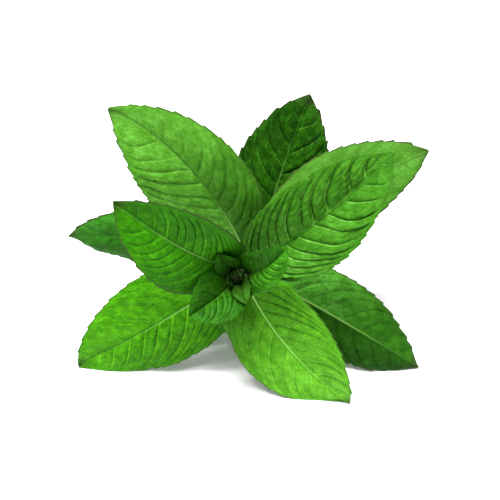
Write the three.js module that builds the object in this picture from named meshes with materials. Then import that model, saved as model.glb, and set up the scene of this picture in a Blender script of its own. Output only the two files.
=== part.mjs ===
// A cut sprig of mint lying on a table: a square stem, opposite pairs of toothed leaves that each turn a
// quarter round the stem from the pair above, and the growing tip. Millimetres and degrees, +Z up.
import * as THREE from 'three';

// Stem: straight where it carries leaves, then bending down to its cut end, which rests on the table.
const TIP_HEIGHT = 38;
const STEM_TILT = 32;
const STEM_YAW = 10;
const LEAFY_LENGTH = 36;
const BARE_LENGTH = 39;
const CUT_END_TILT = 20;
const STEM_TIP_HALF = 0.75;
const STEM_CUT_HALF = 1.45;
const STEM_CORNER_POWER = 3.5;
const STEM_SIDES = 16;
const STEM_STEP = 1.8;
const NODE_SWELL = 0.35;
const NODE_SWELL_REACH = 1.1;
const STEM_FACE_TURN = 35;

// Leaves.
const BLADE_HALF_THICKNESS = 0.18;
const MARGIN_HALF_THICKNESS = 0.07;
const RIB_HALF_WIDTH = 0.75;
const RIB_DEPTH = 0.7;
const PETIOLE_HALF_SHARE = 0.03;
const PETIOLE_MIN_HALF = 0.28;
const RIB_MOST_SHARE = 0.45;
const RIB_FADE_POWER = 0.8;
const SHOULDER_SHARE = 0.6;
const STALK_RINGS = 2;
const TIP_HALF = 0.25;
const PROFILE_BASE_POWER = 0.62;
const PROFILE_TIP_POWER = 0.8;
const DROOP_POWER = 1.3;
const TOOTH_SPACING = 3.6;
const TOOTH_HEIGHT = 0.5;
const TOOTH_MOST_SHARE = 0.025;
const TOOTH_PEAK = 0.65;
const FEWEST_TEETH = 2;
const SPINE_SAMPLES = 240;
const SLOPE_STEPS = 8;
const GAP = 0.3;

// The table, which the lowest leaves press on without passing through it.
const PRESS_LEVEL = 0.25;
const PRESS_SOFTNESS = 0.3;

// The leaf pairs from the top down. below: distance of the pair's node from the tip, along the stem.
// turn: direction round the stem from +X, anticlockwise seen from the tip. sweep: how far that turns on
// towards the leaf's tip. rise: angle of the stalk from square-on to the stem, towards the tip. droop: how
// much of it the leaf loses towards its own tip. roll and twist: the blade's lean about its midrib at its
// base, and how far that goes on. fold: each half's slope up at the midrib. curl: its slope down at the
// margin.
const LEAVES = [
  { name: 'inner_leaf_left', below: 0.4, turn: 210, sweep: 0, length: 5.6, width: 4, stalk: 0.3,
    rise: 84, droop: -10, roll: 0, twist: 0, fold: 35, curl: 0, colour: 0x5a6a2c },
  { name: 'inner_leaf_right', below: 0.4, turn: 28, sweep: 0, length: 5.6, width: 4, stalk: 0.3,
    rise: 84, droop: -10, roll: 0, twist: 0, fold: 35, curl: 0, colour: 0x5a6a2c },
  { name: 'bud_leaf_front', below: 1, turn: 300, sweep: 0, length: 9, width: 6, stalk: 0.4,
    rise: 62, droop: 24, roll: 0, twist: 0, fold: 50, curl: 0, colour: 0x7fa84a },
  { name: 'bud_leaf_back', below: 1, turn: 118, sweep: 0, length: 10.5, width: 7.6, stalk: 0.4,
    rise: 62, droop: 20, roll: 0, twist: 0, fold: 40, curl: 0, colour: 0x2d5a16 },
  { name: 'leaf_pair1_left', below: 3, turn: 232, sweep: -25, length: 17.5, width: 16, stalk: 1,
    rise: 62, droop: 50, roll: 0, twist: 0, fold: 45, curl: 0, colour: 0x3f7a1e },
  { name: 'leaf_pair1_right', below: 3, turn: 14, sweep: 38, length: 22, width: 13, stalk: 1,
    rise: 60, droop: 44, roll: 0, twist: 0, fold: 45, curl: 0, colour: 0x4c8a28 },
  { name: 'leaf_pair2_left', below: 7, turn: 146, sweep: -10, length: 48, width: 24, stalk: 2,
    rise: 65, droop: 46, roll: -10, twist: 20, fold: 25, curl: -10, colour: 0x4c8e22 },
  { name: 'leaf_pair2_front', below: 7, turn: 297, sweep: 24, length: 46, width: 29, stalk: 2,
    rise: 2, droop: 27, roll: 6, twist: 30, fold: 16, curl: 4, colour: 0x5fae2f },
  { name: 'leaf_pair3_right', below: 12, turn: 33, sweep: 12, length: 55, width: 27, stalk: 2,
    rise: 35, droop: 40, roll: 18, twist: -16, fold: 30, curl: -8, colour: 0x5aa032 },
  { name: 'leaf_pair3_left', below: 12, turn: 214, sweep: -6, length: 54, width: 29, stalk: 2,
    rise: 7, droop: 26, roll: -4, twist: -26, fold: 14, curl: 18, colour: 0x5bac29 },
  { name: 'leaf_pair4_back', below: 18, turn: 97, sweep: 56, length: 63, width: 29, stalk: 3,
    rise: 40, droop: 22, roll: -22, twist: 12, fold: 18, curl: 2, colour: 0x63ac38 },
  { name: 'leaf_pair4_right', below: 18, turn: 333, sweep: -10, length: 54, width: 27, stalk: 3,
    rise: 1, droop: 32, roll: 2, twist: -12, fold: 4, curl: 40, colour: 0x2f6b15 },
  { name: 'leaf_pair5_right', below: 24, turn: 45, sweep: -24, length: 57, width: 24, stalk: 3,
    rise: 11, droop: 18, roll: 0, twist: 0, fold: 12, curl: 24, colour: 0x4b9a3c },
  { name: 'leaf_pair5_left', below: 24, turn: 214, sweep: 0, length: 38, width: 19, stalk: 3,
    rise: 0, droop: 16, roll: 0, twist: 0, fold: 12, curl: 24, colour: 0x4b9a3c },
  { name: 'leaf_pair6_left', below: 29, turn: 160, sweep: 26, length: 50, width: 21, stalk: 3,
    rise: 15, droop: 21, roll: -22, twist: -10, fold: 10, curl: 32, colour: 0x2f6b15 },
  { name: 'leaf_pair6_right', below: 29, turn: 334, sweep: 0, length: 32, width: 17, stalk: 3,
    rise: 2, droop: 20, roll: 0, twist: 0, fold: 12, curl: 24, colour: 0x2f6b15 },
  { name: 'leaf_pair7_back', below: 34, turn: 72, sweep: -4, length: 50, width: 27, stalk: 3,
    rise: 27, droop: 20, roll: 2, twist: 12, fold: 12, curl: 22, colour: 0x2a5f14 },
  { name: 'leaf_pair7_front', below: 34, turn: 264, sweep: 0, length: 23, width: 13, stalk: 3,
    rise: 25, droop: 10, roll: 0, twist: 0, fold: 12, curl: 24, colour: 0x2a5f14 },
];

// Growing tip: a small ovoid of furled leaves on the end of the stem.
const BUD_HALF = 0.85;
const BUD_LENGTH = 3.2;
const BUD_RINGS = 8;
const BUD_SIDES = 10;
const BUD_FIRST_SHARE = 0.04;
const BUD_LAST_SHARE = 0.97;
const BUD_FULLNESS = 0.8;

const STEM_COLOUR = 0x6d9440;
const BUD_COLOUR = 0x3a4a1c;

const radians = THREE.MathUtils.degToRad;
const mix = THREE.MathUtils.lerp;
const clamp = THREE.MathUtils.clamp;

// Unit vectors: along the stem to its tip, and two square to it, the first nearest +X.
const stemAxis = new THREE.Vector3(
  -Math.sin(radians(STEM_YAW)) * Math.cos(radians(STEM_TILT)),
  -Math.cos(radians(STEM_YAW)) * Math.cos(radians(STEM_TILT)),
  Math.sin(radians(STEM_TILT)),
);
const acrossX = new THREE.Vector3(1, 0, 0).addScaledVector(stemAxis, -stemAxis.x).normalize();
const acrossY = new THREE.Vector3().crossVectors(stemAxis, acrossX);
const stemTip = new THREE.Vector3(0, 0, TIP_HEIGHT);

function standardMaterial(colour) {
  return new THREE.MeshStandardMaterial({ color: colour, roughness: 0.5, metalness: 0 });
}

// A closed mesh from rings of equal count, in order along the piece, with a flat fan over each end. Each
// four-sided face is split along its shorter diagonal, so that a thin blade's two faces stay parallel.
function loftRings(rings) {
  const count = rings[0].length;
  const points = rings.flat();
  const positions = points.flatMap((p) => [p.x, p.y, p.z]);
  const indices = [];
  for (let i = 0; i + 1 < rings.length; i += 1) {
    for (let j = 0; j < count; j += 1) {
      const a = i * count + j;
      const b = i * count + ((j + 1) % count);
      const c = b + count;
      const d = a + count;
      if (points[a].distanceTo(points[c]) <= points[b].distanceTo(points[d])) {
        indices.push(a, b, c, a, c, d);
      } else {
        indices.push(a, b, d, b, c, d);
      }
    }
  }
  for (const [ring, first] of [[rings[0], 0], [rings.at(-1), (rings.length - 1) * count]]) {
    const centre = ring.reduce((sum, p) => sum.add(p), new THREE.Vector3()).divideScalar(count);
    const hub = positions.length / 3;
    positions.push(centre.x, centre.y, centre.z);
    for (let j = 0; j < count; j += 1) {
      const a = first + j;
      const b = first + ((j + 1) % count);
      indices.push(...(first === 0 ? [hub, b, a] : [hub, a, b]));
    }
  }
  const geometry = new THREE.BufferGeometry();
  geometry.setAttribute('position', new THREE.Float32BufferAttribute(positions, 3));
  geometry.setIndex(indices);
  geometry.computeVertexNormals();
  return geometry;
}

// Half width of the stem across its flats, at a distance from its tip, with the swelling at each node.
function stemHalf(along) {
  const plain = mix(STEM_TIP_HALF, STEM_CUT_HALF, along / (LEAFY_LENGTH + BARE_LENGTH));
  const nearest = Math.min(...LEAVES.map((leaf) => Math.abs(leaf.below - along)));
  return plain + NODE_SWELL * Math.exp(-((nearest / NODE_SWELL_REACH) ** 2));
}

// Radius of the rounded square section, as a share of its half width, at an angle from the middle of a flat.
function squareRadius(angle) {
  const power = STEM_CORNER_POWER;
  return (Math.abs(Math.cos(angle)) ** power + Math.abs(Math.sin(angle)) ** power) ** (-1 / power);
}

function stemGeometry() {
  const total = LEAFY_LENGTH + BARE_LENGTH;
  const steps = Math.round(total / STEM_STEP);
  const rings = [];
  const centre = stemTip.clone();
  const axis = stemAxis.clone();
  const sideways = acrossX.clone();
  for (let i = 0; i <= steps; i += 1) {
    const along = (total * i) / steps;
    const upward = new THREE.Vector3().crossVectors(axis, sideways);
    const ring = [];
    for (let j = 0; j < STEM_SIDES; j += 1) {
      const angle = (2 * Math.PI * j) / STEM_SIDES;
      const radius = stemHalf(along) * squareRadius(angle - radians(STEM_FACE_TURN));
      ring.push(centre.clone()
        .addScaledVector(sideways, radius * Math.cos(angle))
        .addScaledVector(upward, radius * Math.sin(angle)));
    }
    rings.push(ring);
    const bend = clamp((along - LEAFY_LENGTH) / BARE_LENGTH, 0, 1) * (STEM_TILT - CUT_END_TILT);
    axis.copy(stemAxis).applyAxisAngle(acrossX, radians(bend));
    centre.addScaledVector(axis, -total / steps);
  }
  return loftRings(rings.reverse());
}

// The direction square to the stem at an angle round it.
function outwards(turn) {
  return new THREE.Vector3()
    .addScaledVector(acrossX, Math.cos(turn))
    .addScaledVector(acrossY, Math.sin(turn));
}

// The midrib: points, and the blade's sideways and upward directions, from stalk to tip.
function leafSpine(leaf) {
  const total = leaf.stalk + leaf.length;
  const petiole = petioleHalf(leaf);
  const reach = stemHalf(leaf.below) * squareRadius(Math.PI / 4) + GAP
    + petiole * Math.sin(radians(Math.abs(leaf.rise)));
  const point = stemTip.clone()
    .addScaledVector(stemAxis, -leaf.below)
    .addScaledVector(outwards(radians(leaf.turn)), reach);
  const spine = [];
  for (let i = 0; i <= SPINE_SAMPLES; i += 1) {
    const t = i / SPINE_SAMPLES;
    const rise = radians(leaf.rise - leaf.droop * t ** DROOP_POWER);
    const level = outwards(radians(leaf.turn + leaf.sweep * t));
    const along = level.clone().multiplyScalar(Math.cos(rise)).addScaledVector(stemAxis, Math.sin(rise));
    const side = new THREE.Vector3().crossVectors(stemAxis, level)
      .applyAxisAngle(along, radians(leaf.roll + leaf.twist * t));
    const up = new THREE.Vector3().crossVectors(along, side);
    spine.push({ point: point.clone(), side, up });
    point.addScaledVector(along, total / SPINE_SAMPLES);
  }
  return spine;
}

function petioleHalf(leaf) {
  return Math.max(PETIOLE_MIN_HALF, leaf.width * PETIOLE_HALF_SHARE);
}

// Half width of the blade at a share of its length, before its teeth.
function bladeHalf(leaf, share) {
  const a = PROFILE_BASE_POWER;
  const b = PROFILE_TIP_POWER;
  const widest = a / (a + b);
  const peak = widest ** a * (1 - widest) ** b;
  return (leaf.width / 2) * (share ** a * (1 - share) ** b) / peak;
}

// How far across and up the blade a share of its half width lies. The blade slopes up by its fold at the
// midrib, and that turns evenly into a slope down by its curl at the margin.
function bladeOffset(leaf, half, share) {
  let across = 0;
  let up = 0;
  for (let i = 0; i < SLOPE_STEPS; i += 1) {
    const place = (Math.abs(share) * (i + 0.5)) / SLOPE_STEPS;
    const slope = radians(mix(leaf.fold, -leaf.curl, place));
    across += (Math.cos(slope) * half * share) / SLOPE_STEPS;
    up += (Math.sin(slope) * half * Math.abs(share)) / SLOPE_STEPS;
  }
  return { across, up };
}

// A height pressed up by the table, smoothly.
function pressed(z) {
  const over = z - PRESS_LEVEL;
  return PRESS_LEVEL + (over + Math.sqrt(over * over + PRESS_SOFTNESS * PRESS_SOFTNESS)) / 2;
}

// One closed ring of a leaf: along its under face from one margin to the other, and back over the top.
function leafRing(leaf, spine, t, half, tooth) {
  const share = clamp((t * (leaf.stalk + leaf.length) - leaf.stalk) / leaf.length, 0, 1);
  const frame = spine[Math.round(t * SPINE_SAMPLES)];
  const ribShare = Math.min(RIB_MOST_SHARE, RIB_HALF_WIDTH / half);
  const rib = Math.min(RIB_DEPTH, petioleHalf(leaf)) * (1 - share) ** RIB_FADE_POWER;
  const at = (q, lift) => {
    const { across, up } = bladeOffset(leaf, half + (Math.abs(q) === 1 ? tooth : 0), q);
    const point = frame.point.clone().addScaledVector(frame.side, across).addScaledVector(frame.up, up);
    point.z = pressed(point.z);
    return point.addScaledVector(frame.up, lift);
  };
  const blade = BLADE_HALF_THICKNESS;
  const rim = MARGIN_HALF_THICKNESS;
  const shoulder = SHOULDER_SHARE;
  return [
    at(-1, -rim), at(-shoulder, -blade), at(-ribShare, -blade), at(0, -blade - rib),
    at(ribShare, -blade), at(shoulder, -blade), at(1, -rim),
    at(1, rim), at(shoulder, blade), at(ribShare, blade), at(0, blade),
    at(-ribShare, blade), at(-shoulder, blade), at(-1, rim),
  ];
}

function leafGeometry(leaf) {
  const spine = leafSpine(leaf);
  const total = leaf.stalk + leaf.length;
  const petiole = petioleHalf(leaf);
  const rings = [];
  for (let i = 0; i < STALK_RINGS; i += 1) {
    rings.push(leafRing(leaf, spine, (i / STALK_RINGS) * (leaf.stalk / total), petiole, 0));
  }
  const teeth = Math.max(FEWEST_TEETH, Math.round(leaf.length / TOOTH_SPACING));
  const toothHeight = Math.min(TOOTH_HEIGHT, leaf.width * TOOTH_MOST_SHARE);
  for (let i = 0; i < teeth; i += 1) {
    for (const [offset, height] of [[0, 0], [TOOTH_PEAK, toothHeight]]) {
      const share = (i + offset) / teeth;
      const half = Math.max(petiole, bladeHalf(leaf, share));
      const tooth = i > 0 ? height : 0;
      rings.push(leafRing(leaf, spine, (leaf.stalk + share * leaf.length) / total, half, tooth));
    }
  }
  rings.push(leafRing(leaf, spine, 1, TIP_HALF, 0));
  return loftRings(rings);
}

function budGeometry() {
  const rings = [];
  for (let i = 0; i <= BUD_RINGS; i += 1) {
    const share = mix(BUD_FIRST_SHARE, BUD_LAST_SHARE, i / BUD_RINGS);
    const radius = BUD_HALF * Math.sin(Math.PI * share ** BUD_FULLNESS);
    const centre = stemTip.clone().addScaledVector(stemAxis, GAP + BUD_LENGTH * share);
    rings.push(Array.from({ length: BUD_SIDES }, (_, j) => {
      const angle = (2 * Math.PI * j) / BUD_SIDES;
      return centre.clone()
        .addScaledVector(acrossX, radius * Math.cos(angle))
        .addScaledVector(acrossY, radius * Math.sin(angle));
    }));
  }
  return loftRings(rings);
}

function addPiece(group, name, geometry, colour) {
  const mesh = new THREE.Mesh(geometry, standardMaterial(colour));
  mesh.name = name;
  group.add(mesh);
}

// Sets the sprig down: its box is centred on X and Y, and its lowest point is on z = 0.
function setDown(group) {
  const box = new THREE.Box3().setFromObject(group);
  const middle = box.getCenter(new THREE.Vector3());
  group.position.set(-middle.x, -middle.y, -box.min.z);
}

const sprig = new THREE.Group();
addPiece(sprig, 'stem', stemGeometry(), STEM_COLOUR);
addPiece(sprig, 'growing_tip', budGeometry(), BUD_COLOUR);
for (const leaf of LEAVES) {
  addPiece(sprig, leaf.name, leafGeometry(leaf), leaf.colour);
}
setDown(sprig);

export default sprig;
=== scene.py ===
"""A cut sprig of mint lying on a table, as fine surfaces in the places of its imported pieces.

Each leaf is one closed sheet on a grid that runs along its midrib and across its blade. The grid is laid
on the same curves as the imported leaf, pressed up by the table, and then lifted into the cushions between
the veins. The stem and the growing tip are closed rings carried along a path.
"""
import math
from dataclasses import dataclass

import bpy
import numpy as np
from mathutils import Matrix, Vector


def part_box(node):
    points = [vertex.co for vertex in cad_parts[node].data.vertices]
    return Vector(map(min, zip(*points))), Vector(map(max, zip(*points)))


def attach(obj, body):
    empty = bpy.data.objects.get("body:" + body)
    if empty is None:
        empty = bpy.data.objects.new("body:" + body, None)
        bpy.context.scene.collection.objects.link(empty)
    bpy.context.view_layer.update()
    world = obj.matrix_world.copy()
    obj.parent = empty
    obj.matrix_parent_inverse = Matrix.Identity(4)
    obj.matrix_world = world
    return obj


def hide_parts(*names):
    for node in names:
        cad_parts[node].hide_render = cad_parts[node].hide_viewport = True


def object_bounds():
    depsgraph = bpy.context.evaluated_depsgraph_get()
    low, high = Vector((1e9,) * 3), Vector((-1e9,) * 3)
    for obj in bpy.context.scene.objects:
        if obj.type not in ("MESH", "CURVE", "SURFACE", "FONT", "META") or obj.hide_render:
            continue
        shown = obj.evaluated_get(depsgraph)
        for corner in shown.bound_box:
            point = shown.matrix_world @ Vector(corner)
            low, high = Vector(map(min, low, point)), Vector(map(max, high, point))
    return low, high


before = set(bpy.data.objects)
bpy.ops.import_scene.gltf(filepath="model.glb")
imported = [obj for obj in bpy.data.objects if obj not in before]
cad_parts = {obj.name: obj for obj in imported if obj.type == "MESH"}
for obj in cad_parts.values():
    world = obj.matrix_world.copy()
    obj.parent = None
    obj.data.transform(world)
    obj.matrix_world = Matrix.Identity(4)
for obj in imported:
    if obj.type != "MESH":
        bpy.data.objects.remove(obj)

bl_info = {
    "name": "Mint Sprig",
    "version": (1, 0, 0),
    "blender": (4, 5, 0),
    "location": "3D View > Sidebar > Mint",
    "description": "Builds the leaves, stem and growing tip of a cut sprig of mint round its packed frame",
    "category": "Add Mesh",
}

MM = 0.001
BODY = "root"
BAKE_MAP = "OFBake"  # the name of the map that the pieces are unfolded on
BOX_TOLERANCE = 1.8 * MM

# The map, one unit wide and high: where each face starts and how wide it is, the strip beside it, the rows'
# start and span, and along each cap its start and span and how far its ring lies from the map's edge.
FACE_STARTS, FACE_SPAN = (0.01, 0.51), 0.47
STRIP_START, STRIP_END = 0.475, 0.485
ROWS_START, ROWS_SPAN = 0.02, 0.96
CAP_START, CAP_SPAN, CAP_DEPTH = 0.01, 0.98, 0.012

# Stem, as packed: straight where it carries leaves, then bending down to its cut end.
TIP_HEIGHT = 38 * MM
STEM_TILT = 32
STEM_YAW = 10
LEAFY_LENGTH = 36 * MM
BARE_LENGTH = 39 * MM
STEM_LENGTH = LEAFY_LENGTH + BARE_LENGTH
CUT_END_TILT = 20
STEM_KNOTS = 42
STEM_TIP_HALF = 0.75 * MM
STEM_CUT_HALF = 1.45 * MM
STEM_CORNER_POWER = 3.5
NODE_SWELL = 0.35 * MM
NODE_SWELL_REACH = 1.1 * MM
STEM_FACE_TURN = 35

# Leaves, as packed.
GAP = 0.3 * MM
PETIOLE_HALF_SHARE = 0.03
PETIOLE_MIN_HALF = 0.28 * MM
PROFILE_BASE_POWER = 0.62
PROFILE_TIP_POWER = 0.8
DROOP_POWER = 1.3
SPINE_SAMPLES = 240
SECTION_SAMPLES = 200
PRESS_LEVEL = 0.25 * MM
PRESS_SOFTNESS = 0.3 * MM

# Growing tip, as packed.
BUD_HALF = 0.85 * MM
BUD_LENGTH = 3.2 * MM
BUD_RINGS = 9
BUD_SIDES = 10
BUD_FIRST_SHARE = 0.04
BUD_LAST_SHARE = 0.97
BUD_FULLNESS = 0.8

# Veins: how a lateral vein leaves the midrib, bends to the margin, and crowds towards the base. Panels, the
# tissue between two veins, alternate on the two halves of a blade.
VEIN_SLANT = 0.80
VEIN_HOOK, VEIN_HOOK_POWER = 0.75, 4
VEIN_WAVER = 0.06
WAVER_LENGTH = 12 * MM
VEIN_SPREAD = 0.10
SPREAD_LENGTH = 2.5
SPREAD_APART = 9
CLOCKWISE_LEAD = 0.37
VEIN_HALF_WIDTH = 0.28 * MM
VEIN_GROOVE = 0.08 * MM
VEIN_RIDGE = 0.12 * MM
VEIN_RIDGE_FADE = 0.5  # how much of the ridge is gone at the margin

# Cushions between the veins, with smaller cells over them, and the unevenness of the whole sheet.
CUSHION_POWER = 2.6
CUSHION_LEAN = 0.80
LOWEST_PANEL = 0.45
PANEL_TABLE = 32
DEEPEST_QUILT = 0.8 * MM
MINOR_CREASE = 0.22
MINOR_CREASE_POWER = 0.7
CELL_DEPTH = 0.20
CELL_RELIEF = 0.03 * MM
CELLS_PER_VEIN = 1.7
CELL_ACROSS = 1.7 * MM
CELL_SLOPE = 0.6
CELL_TABLE = 64
CELL_CENTRES = (0.1, 0.9)  # between what shares of its square a cell's centre lies
HALVES_APART = 20  # how many cells lie between the patterns of the two halves
QUILT_LEAST, QUILT_SPREAD, QUILT_LENGTH = 0.8, 0.25, 14 * MM
SMOOTH_QUILT = 0.2  # what is left of the quilting where a blade has smoothed out
SMOOTH_BEFORE, SMOOTH_AFTER = 0.35, 0.15
WARP_SHARE, WARP_LENGTH_SHARE = 0.008, 0.8
RIPPLE_LENGTH = 11 * MM
WAVE_COUNT = 6
SHORTEST_WAVE, LONGEST_WAVE = 0.7, 1.6  # as shares of the length asked for

# Where relief starts and where it is full: away from the midrib and the rim, and from the base and the tip.
RIB_FADE = (0.1 * MM, 1.8 * MM)
RIM_FADE = (0.2 * MM, 2.2 * MM)
BASE_FADE = (0.02, 0.10)
TIP_FADE = (1.0, 0.86)
RIPPLE_FADE = (0.35, 1.0)
RIPPLE_BASE_FADE = (0, 0.2)

# A leaf's grid, stalk, margin, tip and midrib.
FEWEST_ROWS, FEWEST_COLUMNS = 24, 10
RELIEF_START, RELIEF_FULL = -0.5, 0.05  # a share of the stalk, before the blade, and one of the blade
STALK_BLEND_POWER = 4
RIM_ROUNDNESS = 6
ROOT_ELBOW = 1.3
ROOT_DEPTH = 0.3
ROOT_ROWS = 10
ROOT_FLARE = 1.2
ROOT_RUN = 2 * MM
LOBE_SHARE = 0.10
LOBE_SPAN = 0.09
LOBE_START = 0.05
TOOTH_MOST_SHARE = 0.025
TOOTH_POINT = 0.88
TOOTH_CLIMB_POWER = 1.15
TOOTH_HOOK = 0.9
TOOTH_REACH = 0.88
TOOTH_ROOT_POWER = 1.5
TOOTH_UNEVEN = 0.22
LOWEST_TOOTH = 0.55
TEETH_FULL_FROM = 0.22
LAST_TOOTH = 0.4
FEWEST_TEETH = 2
TIP_HALF = 0.12 * MM
TIP_DRAWN_IN = 0.5
TIP_DRAW_REACH = 0.03
MARGIN_THICKNESS = 0.25
MIDRIB_HALF = 0.34 * MM
RIB_HALF_WIDTH = 0.6 * MM
RIB_DEPTH = 0.7 * MM
RIB_DEPTH_SHARE = 1.1  # the most that the rib stands out, as a share of the stalk's half width
RIB_SHARE = 0.95
RIB_TAPER_POWER = 0.8
FLOOR_CLEAR = 0.02 * MM

# The heart's painted shade, standing mostly for the shade deep among the leaves round the growing tip and
# partly for the young leaves' own darker colour: how far from the stem it reaches at its tip, and at its
# lowest leaves.
HEART_REACH = 5.5 * MM
HEART_REACH_BELOW = 6.0 * MM

# The finished stem and growing tip.
STEM_ROWS = 320
STEM_SIDES = 64
COLLAR_HEIGHT, COLLAR_PLACE, COLLAR_WIDTH = 0.05, 0.6 * MM, 0.25 * MM
GROOVE_POWER = 8
RIDGE_HEIGHT, RIDGES, RIDGE_WAVER, RIDGE_WAVERS = 0.012, 28, 2, 3
STEM_UNEVEN, STEM_UNEVEN_LENGTH, STEM_SEED = 0.02, 6 * MM, 501
NODE_FLUSH_REACH = 1.6 * MM
CUT_FACE = ((0.99, 0.0), (0.95, -0.06), (0.82, -0.05), (0.7, 0.02), (0.5, 0.16), (0.3, 0.2), (0.12, 0.22))
TIP_RINGS, TIP_SIDES = 40, 48
TIP_SWELL = 2.1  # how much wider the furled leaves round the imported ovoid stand
TIP_TWIST = 1.2
TIP_PINCH, TIP_PINCH_POWER = 0.16, 6
TIP_RIB, TIP_RIBS = 0.04, 9

# What each number added to a leaf's seed draws.
TEETH, CLOCKWISE_TEETH, PANELS, WAVER, CELLS, QUILT, WARP, RIPPLE, SPREAD = range(1, 10)


@dataclass
class Leaf:
    """A leaf's place on the stem and its form, as packed, and how its blade is veined and coloured. Lengths
    are given in millimetres and kept in metres, and angles are in degrees.

    Where two numbers are given, the first is for the half of the blade that lies clockwise of the midrib as
    seen from the stem's tip, and the second for the other."""

    node: str
    below: float  # from the stem's tip to the leaf's node
    turn: float  # heading round the stem, at the stalk
    sweep: float  # how far the heading turns by the leaf's tip
    length: float
    width: float
    stalk: float
    rise: float  # tilt from the stem's cross-section towards its tip, at the stalk
    droop: float  # how far that tilt falls by the leaf's tip
    roll: float
    twist: float
    fold: float  # slope of each half at the midrib
    curl: float  # slope of each half, downwards, at the margin
    slot: str
    tone: tuple
    veins: int = 9
    crowding: float = 0.3  # how much closer the veins are near the base
    quilt: tuple = (0.4, 0.4)
    smooth_from: float = 1.0  # the share of the length from which the quilting fades
    vein_light: tuple = (0.4, 0.4)  # how pale the line beside each lateral vein is
    rib_light: float = 0.6  # how pale the midrib is
    blush: float = 0.4  # how brown the rim and the tip are
    # how dark the painted shade in each half's creases is
    crease: tuple = (0.6, 0.6)  # how dark the creases are
    # painted light and shade: how much lighter or darker each half is painted at its base and at its tip, for
    # how it stands lit or shaded
    painted_shades: tuple = ((1.0, 1.0), (1.0, 1.0))  # each half's shade at its base and at its tip
    mottle: float = 1.0
    lobe: float = 0.0  # how much wider each half is near its base
    widen: tuple = (0.0, 0.0)  # how much wider each half is at its widest
    bloom: float = 0.45  # how pale the under face is
    step: float = 0.3  # the grid's spacing

    def __post_init__(self):
        """Turns the millimetres into metres."""
        for name in ("below", "length", "width", "stalk", "lobe", "step"):
            setattr(self, name, getattr(self, name) * MM)
        self.quilt = tuple(depth * MM for depth in self.quilt)
        self.widen = tuple(extra * MM for extra in self.widen)


def tiny_leaf(node, below, turn, length, width, rise, droop, fold, slot, tone):
    """One of the leaves round the growing tip."""
    return Leaf(node, below, turn, 0, length, width, 0.4, rise, droop, 0, 0, fold, 0, slot, tone,
                veins=5, crowding=0.2, quilt=(0.1, 0.1), vein_light=(0.5, 0.5), rib_light=0.3, blush=0.0,
                lobe=1.7, bloom=0.04, step=0.15)


# Each leaf's tone is partly its own colour and partly painted light and shade: each was set to match how
# brightly that leaf stands lit or shaded among the others.
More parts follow.
